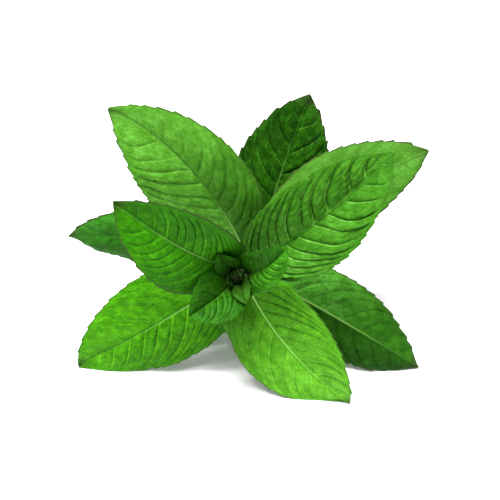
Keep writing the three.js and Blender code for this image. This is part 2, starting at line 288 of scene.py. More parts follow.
LEAVES = [
    tiny_leaf("inner_leaf_left", 0.4, 210, 5.6, 4, 84, -10, 35, "bud", (0.008, 0.034, 0.002)),
    tiny_leaf("inner_leaf_right", 0.4, 28, 5.6, 4, 84, -10, 35, "bud", (0.008, 0.034, 0.002)),
    tiny_leaf("bud_leaf_front", 1, 300, 9, 6, 62, 24, 50, "leaf_young", (0.024, 0.100, 0.004)),
    tiny_leaf("bud_leaf_back", 1, 118, 10.5, 7.6, 62, 20, 40, "leaf_young", (0.010, 0.066, 0.001)),
    Leaf("leaf_pair1_left", 3, 232, -25, 17.5, 16, 1, 62, 50, 0, 0, 45, 0, "leaf_young",
         (0.017, 0.108, 0.002), veins=8, crowding=0.2, quilt=(0.3, 0.6), vein_light=(0.4, 0.9),
         rib_light=0.2, blush=0.0, painted_shades=((0.68, 0.68), (1.05, 1.05)), bloom=0.15, lobe=1.4, step=0.18),
    Leaf("leaf_pair1_right", 3, 14, 38, 22, 13, 1, 60, 44, 0, 0, 45, 0, "leaf_young",
         (0.024, 0.140, 0.003), crowding=0.2, quilt=(0.5, 0.3), vein_light=(0.9, 0.5),
         rib_light=0.3, blush=0.0, painted_shades=((0.92, 1.14), (0.55, 0.60)), bloom=0.15, lobe=2.3, step=0.18),
    Leaf("leaf_pair2_left", 7, 146, -10, 48, 24, 2, 65, 46, -10, 20, 25, -10, "leaf_mid",
         (0.023, 0.163, 0.001), veins=13, crowding=0.55, quilt=(0.85, 0.45), vein_light=(1.0, 0.5),
         rib_light=0.5, blush=1.0, crease=(0.6, 0.4), painted_shades=((0.94, 0.94), (1.06, 1.06)), mottle=0.9,
         lobe=1.4),
    Leaf("leaf_pair2_front", 7, 297, 24, 46, 29, 2, 2, 27, 6, 30, 16, 4, "leaf_bright",
         (0.100, 0.390, 0.012), crowding=0.35, quilt=(0.6, 0.75), vein_light=(0.4, 0.5), rib_light=1.0,
         blush=0.6, crease=(0.2, 0.9), painted_shades=((0.52, 0.98), (0.48, 0.90)), mottle=0.8, lobe=2.4,
         widen=(-0.2, 0.3)),
    Leaf("leaf_pair3_right", 12, 33, 12, 55, 27, 2, 35, 40, 18, -16, 30, -8, "leaf_mid",
         (0.046, 0.208, 0.008), veins=10, crowding=0.5, quilt=(1.3, 1.7), vein_light=(1.0, 1.0),
         rib_light=0.25, blush=0.2, crease=(1.0, 1.0), painted_shades=((1.02, 0.72), (0.92, 0.80)), mottle=0.8,
         widen=(-0.5, 0.0)),
    Leaf("leaf_pair3_left", 12, 214, -6, 54, 29, 2, 7, 26, -4, -26, 14, 18, "leaf_bright",
         (0.038, 0.215, 0.001), veins=11, crowding=0.35, quilt=(0.4, 0.8), smooth_from=0.8,
         vein_light=(0.4, 1.0), rib_light=0.45, blush=0.7, crease=(0.2, 0.4),
         painted_shades=((0.90, 1.08), (0.80, 1.08)), lobe=2.6),
    Leaf("leaf_pair4_back", 18, 97, 56, 63, 29, 3, 40, 22, -22, 12, 18, 2, "leaf_bright",
         (0.077, 0.296, 0.015), veins=11, crowding=0.4, quilt=(0.45, 0.7), smooth_from=0.85,
         vein_light=(0.2, 0.3), rib_light=1.0, blush=0.8, crease=(0.2, 0.8),
         painted_shades=((0.44, 1.02), (1.14, 0.98)), mottle=0.8, widen=(-0.1, 1.2), step=0.32),
    Leaf("leaf_pair4_right", 18, 333, -10, 54, 27, 3, 1, 32, 2, -12, 4, 40, "leaf_dark",
         (0.026, 0.140, 0.004), quilt=(0.6, 0.75), vein_light=(0.3, 0.4), rib_light=1.0, blush=0.8,
         crease=(0.6, 0.9), painted_shades=((0.70, 0.42), (2.15, 0.80)), lobe=1.0, widen=(-0.8, -1.3)),
    Leaf("leaf_pair5_right", 24, 45, -24, 57, 24, 3, 11, 18, 0, 0, 12, 24, "leaf_mid",
         (0.049, 0.185, 0.010), veins=10, quilt=(0.15, 0.15), vein_light=(0.1, 0.1), rib_light=0.2,
         blush=1.0, crease=(0.2, 0.2), mottle=0.6, widen=(-0.2, 0.2)),
    Leaf("leaf_pair5_left", 24, 214, 0, 38, 19, 3, 0, 16, 0, 0, 12, 24, "leaf_mid",
         (0.050, 0.200, 0.008), blush=0.3, step=0.35),
    Leaf("leaf_pair6_left", 29, 160, 26, 50, 21, 3, 15, 21, -22, -10, 10, 32, "leaf_dark",
         (0.022, 0.146, 0.005), quilt=(0.35, 0.35), vein_light=(0.2, 0.2), rib_light=0.3, blush=1.0,
         crease=(0.4, 0.4), mottle=0.9, widen=(-0.7, 0.9)),
    Leaf("leaf_pair6_right", 29, 334, 0, 32, 17, 3, 2, 20, 0, 0, 12, 24, "leaf_dark",
         (0.030, 0.130, 0.008), veins=8, quilt=(0.35, 0.35), blush=0.3, step=0.35),
    Leaf("leaf_pair7_back", 34, 72, -4, 50, 27, 3, 27, 20, 2, 12, 12, 22, "leaf_dark",
         (0.011, 0.070, 0.001), veins=8, quilt=(1.0, 1.0), vein_light=(1.0, 1.0), rib_light=0.2,
         blush=0.9, crease=(1.0, 1.0), painted_shades=((1.18, 1.12), (1.0, 1.0)), mottle=1.7),
    Leaf("leaf_pair7_front", 34, 264, 0, 23, 13, 3, 25, 10, 0, 0, 12, 24, "leaf_dark",
         (0.030, 0.130, 0.008), veins=7, quilt=(0.25, 0.25), blush=0.3, step=0.35),
]
FIRST_YOUNG_LEAF = 4
FIRST_GROWN_LEAF = 6


def unit(vectors):
    """Vectors divided by their own lengths."""
    return vectors / np.linalg.norm(vectors, axis=-1, keepdims=True)


def turned(vectors, axes, degrees):
    """Vectors turned round unit axes: the vector times the cosine, plus the axis crossed with it times the
    sine, plus its part along the axis times one less the cosine."""
    angle = np.radians(degrees)[..., None]
    along = np.sum(vectors * axes, axis=-1, keepdims=True)
    crossed = np.cross(axes, vectors)
    return vectors * np.cos(angle) + crossed * np.sin(angle) + axes * along * (1 - np.cos(angle))


def smoothstep(low, high, x):
    """0 below low, 1 above high, and the cubic 3x^2 - 2x^3 of the share between."""
    share = np.clip((x - low) / (high - low), 0, 1)
    return share * share * (3 - 2 * share)


def bell(x, middle, width):
    """A bell curve of height 1: e to the power of minus the square of the distance over the width."""
    return np.exp(-(((x - middle) / width) ** 2))


STEM_AXIS = np.array([
    -math.sin(math.radians(STEM_YAW)) * math.cos(math.radians(STEM_TILT)),
    -math.cos(math.radians(STEM_YAW)) * math.cos(math.radians(STEM_TILT)),
    math.sin(math.radians(STEM_TILT)),
])
ACROSS_X = unit(np.array([1.0, 0.0, 0.0]) - STEM_AXIS[0] * STEM_AXIS)
ACROSS_Y = np.cross(STEM_AXIS, ACROSS_X)


def waves(x, y, length, seed):
    """Smooth unevenness from about -1 to 1: the mean of a few sine waves of about this length, each with
    a heading and a phase drawn from the seed."""
    draw = np.random.default_rng(seed)
    total = np.zeros(np.broadcast(x, y).shape)
    for _ in range(WAVE_COUNT):
        heading, phase, stretch = draw.uniform((0, 0, SHORTEST_WAVE), (2 * np.pi, 2 * np.pi, LONGEST_WAVE))
        travelled = x * np.cos(heading) + y * np.sin(heading)
        total = total + np.sin(2 * np.pi * travelled / (length * stretch) + phase)
    return total / math.sqrt(WAVE_COUNT)


def cell_walls(x, y, seed):
    """How far a point is from its cell's wall: the distance to its second nearest centre less that to its
    nearest, with one centre placed at random in each unit square."""
    centres = np.random.default_rng(seed).uniform(*CELL_CENTRES, (CELL_TABLE, CELL_TABLE, 2))
    column = np.floor(x).astype(int)
    row = np.floor(y).astype(int)
    distances = []
    for i in (-1, 0, 1):
        for j in (-1, 0, 1):
            centre = centres[(column + i) % CELL_TABLE, (row + j) % CELL_TABLE]
            across = column + i + centre[..., 0] - x
            upward = row + j + centre[..., 1] - y
            distances.append(np.hypot(across, upward))
    nearest = np.sort(distances, axis=0)
    return nearest[1] - nearest[0]


def circle(sides):
    """Evenly spaced angles round a full turn."""
    return np.arange(sides) * 2 * np.pi / sides


def stem_half(along):
    """Half the stem's width across its flats: an even taper from the tip to the cut end, with a bell-shaped
    swelling at each node."""
    taper = STEM_TIP_HALF + (STEM_CUT_HALF - STEM_TIP_HALF) * along / STEM_LENGTH
    nodes = np.array(sorted({leaf.below for leaf in LEAVES}))
    nearest = np.abs(np.asarray(along)[..., None] - nodes).min(-1)
    return taper + NODE_SWELL * bell(nearest, 0, NODE_SWELL_REACH)


def square_radius(angle):
    """A rounded square's radius as a share of its half width: one over the sum of the absolute cosine and
    sine, each to a power, to the root of that power."""
    power = STEM_CORNER_POWER
    return (np.abs(np.cos(angle)) ** power + np.abs(np.sin(angle)) ** power) ** (-1 / power)


def petiole_half(leaf):
    """Half the width of a leaf's stalk."""
    return max(PETIOLE_MIN_HALF, leaf.width * PETIOLE_HALF_SHARE)


def bud_rings(count, sides):
    """The growing tip's rings: circles on the stem's axis whose radius is the sine of half a turn times the
    share of its length to a power."""
    share = np.linspace(BUD_FIRST_SHARE, BUD_LAST_SHARE, count)
    radius = BUD_HALF * np.sin(np.pi * share**BUD_FULLNESS)
    angle = circle(sides)
    centre = np.array([0, 0, TIP_HEIGHT]) + STEM_AXIS * (GAP + BUD_LENGTH * share)[:, None]
    round_it = np.cos(angle)[:, None] * ACROSS_X + np.sin(angle)[:, None] * ACROSS_Y
    return centre[:, None] + radius[:, None, None] * round_it


def packed_place():
    """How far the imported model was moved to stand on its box: its growing tip's box less the same rings'."""
    low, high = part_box("growing_tip")
    rings = bud_rings(BUD_RINGS, BUD_SIDES).reshape(-1, 3)
    return (np.array(low) + np.array(high) - rings.min(0) - rings.max(0)) / 2


PLACE = packed_place()
STEM_TIP = np.array([0, 0, TIP_HEIGHT]) + PLACE
PACKED_BOX = np.array(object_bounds())
FLOOR = PLACE[2]


def leaf_spine(leaf):
    """A leaf's midrib: its points, from a heading that turns with the sweep and sinks with the droop, and
    the blade's sideways and upward directions, from the stalk's start to the tip."""
    t = np.linspace(0, 1, SPINE_SAMPLES + 1)
    rise = np.radians(leaf.rise - leaf.droop * t**DROOP_POWER)[:, None]
    turn = np.radians(leaf.turn + leaf.sweep * t)[:, None]
    level = np.cos(turn) * ACROSS_X + np.sin(turn) * ACROSS_Y
    along = np.cos(rise) * level + np.sin(rise) * STEM_AXIS
    side = turned(np.cross(STEM_AXIS, level), along, leaf.roll + leaf.twist * t)
    reach = stem_half(leaf.below) * square_radius(np.pi / 4) + GAP
    reach = reach + petiole_half(leaf) * math.sin(math.radians(abs(leaf.rise)))
    start = STEM_TIP - leaf.below * STEM_AXIS + reach * level[0]
    steps = along[:-1] * (leaf.stalk + leaf.length) / SPINE_SAMPLES
    points = start + np.vstack([np.zeros(3), np.cumsum(steps, axis=0)])
    return points, along, side, level[0]


def root_spine(leaf, points, along, side, outward):
    """The stalk's root inside the stem: a curve of the second degree from near the stem's axis, out at the
    node and round into the stalk's own heading."""
    elbow = points[0] - along[0] * ROOT_ELBOW * petiole_half(leaf)
    height = np.dot(elbow - STEM_TIP, STEM_AXIS)
    inner = STEM_TIP + height * STEM_AXIS + outward * ROOT_DEPTH * stem_half(leaf.below)
    r = (np.arange(ROOT_ROWS) / ROOT_ROWS)[:, None]
    path = (1 - r) ** 2 * inner + 2 * r * (1 - r) * elbow + r**2 * points[0]
    heading = unit((1 - r) * (elbow - inner) + r * (points[0] - elbow))
    level_side = unit(np.cross(STEM_AXIS, outward))
    sideways = unit((1 - r) * level_side + r * side[0])
    sideways = unit(sideways - np.sum(sideways * heading, axis=1, keepdims=True) * heading)
    return path, heading, sideways


def blade_half(leaf, share):
    """Half the blade's width: a share of the length to one power times what is left to another, scaled to
    the leaf's width at its widest, drawn in towards a sharper tip, with a bell-shaped lobe near the base."""
    a, b = PROFILE_BASE_POWER, PROFILE_TIP_POWER
    widest = a / (a + b)
    peak = widest**a * (1 - widest) ** b
    share = np.clip(share, 0, 1)
    sharper = 1 - TIP_DRAWN_IN * np.exp(-(1 - share) / TIP_DRAW_REACH)
    lobe = leaf.lobe * bell(share, LOBE_SHARE, LOBE_SPAN) * smoothstep(0, LOBE_START, share)
    return leaf.width / 2 * share**a * (1 - share) ** b / peak * sharper + lobe


def seed_of(leaf, use=0):
    """A leaf's own seed for one of the things that are uneven on it."""
    return 10 * (1 + LEAVES.index(leaf)) + use


def teeth(leaf, share, use, settings):
    """How far the margin's teeth stand out at a share of the length, from 0 to 1: each climbs evenly to its
    point and drops back at once, and each has a height and a length of its own."""
    count = max(FEWEST_TEETH, round(leaf.length / settings.tooth_spacing))
    draw = np.random.default_rng(seed_of(leaf, use))
    ends = np.linspace(0, 1, count + 1)
    ends[1:-1] += draw.uniform(-TOOTH_UNEVEN, TOOTH_UNEVEN, count - 1) / count
    heights = draw.uniform(LOWEST_TOOTH, 1.0, count) * smoothstep(0.0, TEETH_FULL_FROM, ends[1:])
    heights[-1] *= LAST_TOOTH
    index = np.clip(np.searchsorted(ends, share, side="right") - 1, 0, count - 1)
    phase = (share - ends[index]) / (ends[index + 1] - ends[index])
    climb = np.clip(phase / TOOTH_POINT, 0, 1) ** TOOTH_CLIMB_POWER
    drop = np.clip((1 - phase) / (1 - TOOTH_POINT), 0, 1)
    return np.minimum(climb, drop) * heights[index]


def blade_curve(leaf, columns):
    """The blade's cross-section for a half width of 1: the running sums of the cosine and sine of a slope
    that turns evenly from the fold at the midrib to the curl at the margin."""
    q = np.linspace(-1, 1, columns)
    fine = np.linspace(0, 1, SECTION_SAMPLES + 1)
    slope = np.radians(leaf.fold - (leaf.fold + leaf.curl) * fine)
    middle = (slope[1:] + slope[:-1]) / 2
    across = np.concatenate([[0], np.cumsum(np.cos(middle))]) / SECTION_SAMPLES
    up = np.concatenate([[0], np.cumsum(np.sin(middle))]) / SECTION_SAMPLES
    return q, np.sign(q) * np.interp(np.abs(q), fine, across), np.interp(np.abs(q), fine, up)


def pressed(z):
    """A height kept above the table: the mean of the height over the table and its own smoothed size."""
    over = z - FLOOR - PRESS_LEVEL
    return FLOOR + PRESS_LEVEL + (over + np.sqrt(over**2 + PRESS_SOFTNESS**2)) / 2


def above_table(rings):
    """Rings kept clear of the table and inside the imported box."""
    rings[..., 2] = np.maximum(rings[..., 2], FLOOR_CLEAR)
    return np.clip(rings, *PACKED_BOX)


def along_spine(values, t):
    """Values given evenly along the spine, read at the shares t of its length."""
    place = np.clip(t, 0, 1) * (len(values) - 1)
    low = np.minimum(place.astype(int), len(values) - 2)
    part = (place - low)[..., None]
    return values[low] * (1 - part) + values[low + 1] * part


def vein_count(leaf, s, out, half, hand):
    """Counts the lateral veins up to a point: a whole number lies on a vein. s is the way along the midrib
    and out the way from it. A vein sets out at a slant and, with a power of its way to the margin, hooks
    forwards. The spacing is uneven from vein to vein, and a vein's line a little unsteady. Gives the
    count and, as a length, the spacing there."""
    forwards = out * VEIN_SLANT + VEIN_HOOK * half * (out / half) ** VEIN_HOOK_POWER
    place = (s - forwards) / leaf.length
    crowded = place * (1 + leaf.crowding) - leaf.crowding * place**2
    waver = VEIN_WAVER * waves(s, out * hand, WAVER_LENGTH, seed_of(leaf, WAVER))
    spread = VEIN_SPREAD * waves(leaf.veins * crowded, SPREAD_APART * hand, SPREAD_LENGTH,
                                 seed_of(leaf, SPREAD))
    spacing = leaf.length / (leaf.veins * (1 + leaf.crowding - 2 * leaf.crowding * np.clip(place, 0, 1)))
    lead = np.where(hand > 0, 0.0, CLOCKWISE_LEAD)
    return leaf.veins * crowded + lead + waver + spread, spacing


def panel_heights(leaf, index, hand):
    """How high each panel between two lateral veins cushions up, drawn for it alone."""
    draw = np.random.default_rng(seed_of(leaf, PANELS))
    heights = draw.uniform(LOWEST_PANEL, 1.0, (2, PANEL_TABLE))
    return heights[(hand > 0).astype(int), index.astype(int) % PANEL_TABLE]


def leaf_relief(leaf, s, q, half, settings):
    """A blade's relief. Between two lateral veins the tissue cushions up as one less a power of the distance
    from the panel's middle, leaning towards the base, with smaller cells over that; it dies away at the
    midrib, the base, the tip and the margin. Gives what moves the whole sheet, what moves its upper skin
    alone and its lower skin alone, and the marks that the leaf's material reads."""
    share = np.clip(s / leaf.length, 0, 1)
    hand = np.where(q >= 0, 1.0, -1.0)
    out = np.abs(q) * half
    count, spacing = vein_count(leaf, s, out, half, hand)
    index = np.floor(count)
    part = count - index
    cells = cell_walls(count * CELLS_PER_VEIN, out / CELL_ACROSS + HALVES_APART * hand, seed_of(leaf, CELLS))
    bumps = smoothstep(0.0, CELL_SLOPE, cells)
    fade = smoothstep(*RIB_FADE, out) * smoothstep(*RIM_FADE, half - out)
    fade = fade * smoothstep(*BASE_FADE, share) * smoothstep(*TIP_FADE, share)

    smooth = smoothstep(leaf.smooth_from - SMOOTH_BEFORE, leaf.smooth_from + SMOOTH_AFTER, share)
    kept = 1 - smooth * (leaf.smooth_from < 1)
    uneven = QUILT_LEAST + QUILT_SPREAD * waves(s, out * hand, QUILT_LENGTH, seed_of(leaf, QUILT))
    depth = np.where(hand > 0, leaf.quilt[1], leaf.quilt[0]) * settings.quilting
    depth = depth * fade * uneven * (SMOOTH_QUILT + (1 - SMOOTH_QUILT) * kept)
    cushion = 1 - np.abs(2 * part**CUSHION_LEAN - 1) ** CUSHION_POWER
    minor = np.abs(np.sin(2 * np.pi * count)) ** MINOR_CREASE_POWER
    height = cushion * panel_heights(leaf, index, hand) * (1 - MINOR_CREASE + MINOR_CREASE * minor)
    sheet = depth * (height - 0.5) + CELL_DEPTH * depth * (bumps - 0.5)

    warp = waves(s, q * leaf.width, WARP_LENGTH_SHARE * leaf.length, seed_of(leaf, WARP))
    sheet = sheet + leaf.length * WARP_SHARE * warp
    ripple = waves(s, hand * leaf.length, RIPPLE_LENGTH, seed_of(leaf, RIPPLE))
    wavy = smoothstep(*RIPPLE_FADE, np.abs(q)) * smoothstep(*RIPPLE_BASE_FADE, share)
    sheet = sheet + settings.ripple * wavy * ripple
    vein = bell(np.minimum(part, 1 - part) * spacing, 0, VEIN_HALF_WIDTH) * fade
    midrib = bell(out, 0, MIDRIB_HALF) * (1 - share) ** 0.5
    upper = -midrib * settings.midrib_groove - VEIN_GROOVE * vein + CELL_RELIEF * fade * (bumps - 0.5)
    lower = VEIN_RIDGE * vein * (1 - VEIN_RIDGE_FADE * np.abs(q))
    marks = {"count": count, "spacing": spacing / MM, "side": out * hand / MM, "run": s / MM, "share": share,
             "from_rim": (half - out) / MM, "strength": np.clip(depth / DEEPEST_QUILT, 0, 1), "cells": cells}
    return sheet, upper, lower, marks


def heart_closeness(points):
    """How close points are to the leafy stem, from 1 on it to 0: a bell curve of the distance to the stem's
    axis, whose width changes evenly from the growing tip down."""
    below = np.clip(-(points - STEM_TIP) @ STEM_AXIS, 0, LEAFY_LENGTH)
    away = np.linalg.norm(points - STEM_TIP + below[..., None] * STEM_AXIS, axis=-1)
    return bell(away, 0, HEART_REACH + (HEART_REACH_BELOW - HEART_REACH) * below / LEAFY_LENGTH)


def section_points(centres, side, up, width, curve):
    """A cross-section of a width set at each centre, along its own sideways and upward directions."""
    _, across, height = curve
    return centres + (width * across)[..., None] * side + (width * height)[..., None] * up


def blade_sheet(leaf, spine, curve, rows, settings):
    """The middle surface of the stalk and the blade: the spine plus the cross-section times the half width,
    with the teeth drawn out of the margin and hooked forwards, pressed up by the table. Gives its points,
    its half widths and how far each row is along the midrib."""
    points, along, side, _ = spine
    q = curve[0]
    total = leaf.stalk + leaf.length
    t = np.linspace(0, 1, rows)
    run = t * total - leaf.stalk
    share = np.clip(run / leaf.length, 0, 1)
    least = petiole_half(leaf) + (TIP_HALF - petiole_half(leaf)) * share**0.5
    power = STALK_BLEND_POWER
    half = (least**power + blade_half(leaf, share) ** power) ** (1 / power)
    fullness = (blade_half(leaf, share) / (leaf.width / 2))[:, None]
    half = half[:, None] + fullness * np.where(q >= 0, leaf.widen[1], leaf.widen[0])
    tooth = np.where(q >= 0, teeth(leaf, share, TEETH, settings)[:, None],
                     teeth(leaf, share, CLOCKWISE_TEETH, settings)[:, None])
    rim = np.clip((np.abs(q) - TOOTH_REACH) / (1 - TOOTH_REACH), 0, 1) ** TOOTH_ROOT_POWER
    tall = min(settings.tooth_height, leaf.width * TOOTH_MOST_SHARE)
    hooked = np.minimum(t[:, None] + tooth * rim * TOOTH_HOOK * tall / total, 1)
    wide = half + tooth * rim * tall
    at_side = along_spine(side, hooked)
    at_up = np.cross(along_spine(along, hooked), at_side)
    sheet = section_points(along_spine(points, hooked), at_side, at_up, wide, curve)
    sheet[..., 2] = pressed(sheet[..., 2])
    return sheet, wide, run


def root_sheet(leaf, spine, curve):
    """The middle surface of the stalk's root, widening as a square towards the stem, and its half widths."""
    path, heading, side = root_spine(leaf, *spine)
    flare = 1 + ROOT_FLARE * (1 - np.arange(ROOT_ROWS) / ROOT_ROWS) ** 2
    wide = (petiole_half(leaf) * flare)[:, None]
    up = np.cross(heading, side)
    return section_points(path[:, None], side[:, None], up[:, None], wide, curve), wide


def leaf_rings(leaf, settings):
    """A leaf's closed rings, under face first and then back over the upper one, and its marks. Both skins
    are the middle surface moved along its own normal."""
    spine = leaf_spine(leaf)
    curve = blade_curve(leaf, 2 * max(FEWEST_COLUMNS, round(leaf.width / leaf.step / 2)) + 1)
    rows = max(FEWEST_ROWS, round((leaf.stalk + leaf.length) / leaf.step))
    blade, wide, run = blade_sheet(leaf, spine, curve, rows, settings)
    root, root_wide = root_sheet(leaf, spine, curve)
    sheet = np.concatenate([root, blade])
    wide = np.concatenate([root_wide + 0 * wide[:1], wide])
    root_run = -leaf.stalk - np.linspace(1, 0, ROOT_ROWS, endpoint=False) * ROOT_RUN
    s = np.concatenate([root_run, run])[:, None] + 0 * wide
    q = curve[0] + 0 * wide

    normal = unit(np.cross(np.gradient(sheet, axis=0), np.gradient(sheet, axis=1)) + 1e-15)
    moved, upper, lower, marks = leaf_relief(leaf, s, q, wide, settings)
    ease = smoothstep(RELIEF_START * leaf.stalk, RELIEF_FULL * leaf.length, s)
    sheet = sheet + normal * (moved * ease)[..., None]
    edge = (1 - np.abs(q) ** RIM_ROUNDNESS) ** 0.5
    skin = settings.blade_thickness / 2 * (MARGIN_THICKNESS + (1 - MARGIN_THICKNESS) * edge)
    depth = min(RIB_DEPTH, RIB_DEPTH_SHARE * petiole_half(leaf))
    rib = depth * (1 - marks["share"]) ** RIB_TAPER_POWER * RIB_SHARE
    rib = rib * bell(q * wide, 0, RIB_HALF_WIDTH) * np.sqrt(np.clip(1 - q**2, 0, 1))
    top = sheet + normal * (skin + upper * edge)[..., None]
    under = sheet - normal * (skin + rib + lower * edge)[..., None]
    rings = above_table(np.concatenate([under, top[:, ::-1]], axis=1))
    marks = {name: np.concatenate([values, values[:, ::-1]], axis=1) for name, values in marks.items()}
    marks["under"] = np.concatenate([np.ones_like(q), np.zeros_like(q)], axis=1)
    marks["heart"] = heart_closeness(rings)
    return rings, marks


def unfolded(rows, count):
    """The map coordinates of each corner of each face: the under face and the upper one side by side, with
    the strips that join them in narrow bands beside them, and the end caps along the two short edges."""
    half = count // 2
    low = np.empty(count)
    high = np.empty(count)
    step = FACE_SPAN / (half - 1)
    for first, start in zip((0, half), FACE_STARTS):
        low[first:first + half - 1] = start + step * np.arange(half - 1)
        high[first:first + half - 1] = low[first:first + half - 1] + step
        low[first + half - 1] = start + STRIP_START
        high[first + half - 1] = start + STRIP_END
    v = ROWS_START + ROWS_SPAN * np.arange(rows) / (rows - 1)
    lower, upper = v[:-1, None] + 0 * low, v[1:, None] + 0 * low
    left, right = low + 0 * lower, high + 0 * lower
    quads = np.stack([left, lower, right, lower, right, upper, left, upper], axis=-1).reshape(-1, 2)
    place = CAP_START + CAP_SPAN * np.arange(count + 1) / count
    fans = []
    for hub, ring, order in ((0.0, CAP_DEPTH, (1, 0)), (1.0, 1 - CAP_DEPTH, (0, 1))):
        corners = [np.full(count, 0.5), np.full(count, hub)]
        for shift in order:
            corners += [place[shift:count + shift], np.full(count, ring)]
        fans.append(np.stack(corners, axis=-1).reshape(-1, 2))
    return np.concatenate([quads, *fans])


def closed_mesh(name, rings, marks):
    """A closed mesh from rings of equal count: four-sided faces from ring to ring, and a fan of triangles
    from the middle of each end ring. marks are numbers for the rings' points, kept as attributes."""
    rows, count = rings.shape[:2]
    ends = np.stack([rings[0].mean(0), rings[-1].mean(0)])
    points = np.concatenate([rings.reshape(-1, 3), ends])
    this = np.arange(count)
    following = (this + 1) % count
    base = np.arange(rows - 1)[:, None] * count
    quads = np.stack([base + this, base + following, base + count + following, base + count + this], -1)
    last = (rows - 1) * count
    hub = np.full(count, rows * count)
    fans = np.concatenate([np.stack([hub, following, this], -1),
                           np.stack([hub + 1, last + this, last + following], -1)])
    mesh = bpy.data.meshes.new(name)
    mesh.vertices.add(len(points))
    mesh.vertices.foreach_set("co", points.astype(np.float32).ravel())
    corners = np.concatenate([quads.ravel(), fans.ravel()]).astype(np.int32)
    sizes = np.concatenate([np.full(quads.size // 4, 4), np.full(len(fans), 3)]).astype(np.int32)
    mesh.loops.add(len(corners))
    mesh.loops.foreach_set("vertex_index", corners)
    mesh.polygons.add(len(sizes))
    mesh.polygons.foreach_set("loop_start", (np.cumsum(sizes) - sizes).astype(np.int32))
    mesh.polygons.foreach_set("use_smooth", np.ones(len(sizes), dtype=bool))
    layer = mesh.uv_layers.new(name=BAKE_MAP)
    layer.uv.foreach_set("vector", unfolded(rows, count).astype(np.float32).ravel())
    for title, values in marks.items():
        flat = np.broadcast_to(values, (rows, count)).ravel()
        filled = np.concatenate([flat, flat[:1], flat[-1:]])
        attribute = mesh.attributes.new(title, "FLOAT", "POINT")
        attribute.data.foreach_set("value", filled.astype(np.float32))
    mesh.update(calc_edges=True)
    mesh.validate()
    return mesh


def check_place(node, rings):
    """Stops if rings don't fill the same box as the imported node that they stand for."""
    points = rings.reshape(-1, 3)
    low, high = np.array(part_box(node))
    off = max(np.abs(points.min(0) - low).max(), np.abs(points.max(0) - high).max())
    if off > BOX_TOLERANCE:
        raise RuntimeError(f"{node}: the new surface is {off / MM:.2f} mm off the packed piece")


def add_piece(node, rings, marks, material):
    """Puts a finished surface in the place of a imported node."""
    mesh = closed_mesh(f"mint_{node}", rings, marks)
    mesh.materials.append(material)
    piece = bpy.data.objects.new(mesh.name, mesh)
    bpy.context.scene.collection.objects.link(piece)
    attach(piece, BODY)
    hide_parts(node)


def rgba(colour, factor=1.0):
    """A colour with full opacity, made lighter or darker by a factor."""
    return (*(min(1.0, channel * factor) for channel in colour), 1.0)


def tinted(colour, tint):
    """A colour with each channel made lighter or darker by a tint's own."""
    return rgba([channel * factor for channel, factor in zip(colour, tint)])


class Skin:
    """A material, with short ways to add nodes to its tree. A value is a number, a colour or the output of
    another node."""

    def __init__(self, name):
        self.material = bpy.data.materials.new(name)
        self.material.use_nodes = True
        self.tree = self.material.node_tree
        self.tree.nodes.clear()

    def add(self, kind, inputs, output=0, **settings):
        """A node's output. inputs are values by the name or the number of the socket."""
        node = self.tree.nodes.new("ShaderNode" + kind)
        for name, value in settings.items():
            setattr(node, name, value)
        for name, value in inputs.items():
            if isinstance(value, bpy.types.NodeSocket):
                self.tree.links.new(value, node.inputs[name])
            else:
                node.inputs[name].default_value = value
        return node.outputs[output] if len(node.outputs) else None

    def maths(self, operation, *values):
        """The result of a Math node."""
        return self.add("Math", dict(enumerate(values)), operation=operation)

    def times(self, first, *others):
        """The product of values."""
        for other in others:
            first = self.maths("MULTIPLY", first, other)
        return first

    def most(self, first, *others):
        """The greatest of values."""
        for other in others:
            first = self.maths("MAXIMUM", first, other)
        return first

    def apart(self, first, second):
        """The size of the difference of two values."""
        return self.maths("ABSOLUTE", self.maths("SUBTRACT", first, second))

    def ramp(self, value, low, high, to_low=0.0, to_high=1.0):
        """A value mapped smoothly from one range to another."""
        return self.add("MapRange", {0: value, 1: low, 2: high, 3: to_low, 4: to_high},
                        interpolation_type="SMOOTHSTEP")

    def blend(self, share, first, second, kind="MIX"):
        """A colour between two others. A Mix node's colours are its inputs 6 and 7 and its output 2."""
        return self.add("Mix", {0: share, 6: first, 7: second}, output=2, data_type="RGBA", blend_type=kind)

    def mark(self, title):
        """A piece's own attribute."""
        return self.add("Attribute", {}, output="Fac", attribute_type="GEOMETRY", attribute_name=title)

    def point(self, x, y, z):
        """A vector of three values."""
        return self.add("CombineXYZ", {0: x, 1: y, 2: z})

    def noise(self, place, scale, detail):
        """Smooth noise at a place."""
        return self.add("TexNoise", {"Vector": place, "Scale": scale, "Detail": detail})

    def bump(self, height, strength, distance):
        """The surface's normal, tilted by the slope of a height."""
        return self.add("Bump", {"Strength": strength, "Distance": distance, "Height": height})

    def finish(self, shader):
        """Makes a shader the material's surface, and gives the material."""
        self.add("OutputMaterial", {0: shader})
        return self.material


# Marks on a blade. Scales of unevenness are per millimetre. Each ramp gives where a mark starts and where it
# is full, in the unit of what it is read from, and, if they aren't 0 and 1, its strength at each.
BROAD, MIDDLING, GRAIN, STREAKS = (0.13, 3.0), (0.42, 2.0), (1.3, 4.0), (1.0, 3.0)  # scale, detail
STREAKS_PER_VEIN, STREAKS_ACROSS = 2.6, 0.45
AREOLE_SCALE, AREOLE_RANDOMNESS = 1.5, 0.9
MOTTLE = (("broad", 0.10), ("middling", 0.20), ("streaks", 0.10), ("grain", 0.16))
MOTTLE_RANGE = (0.32, 0.68)
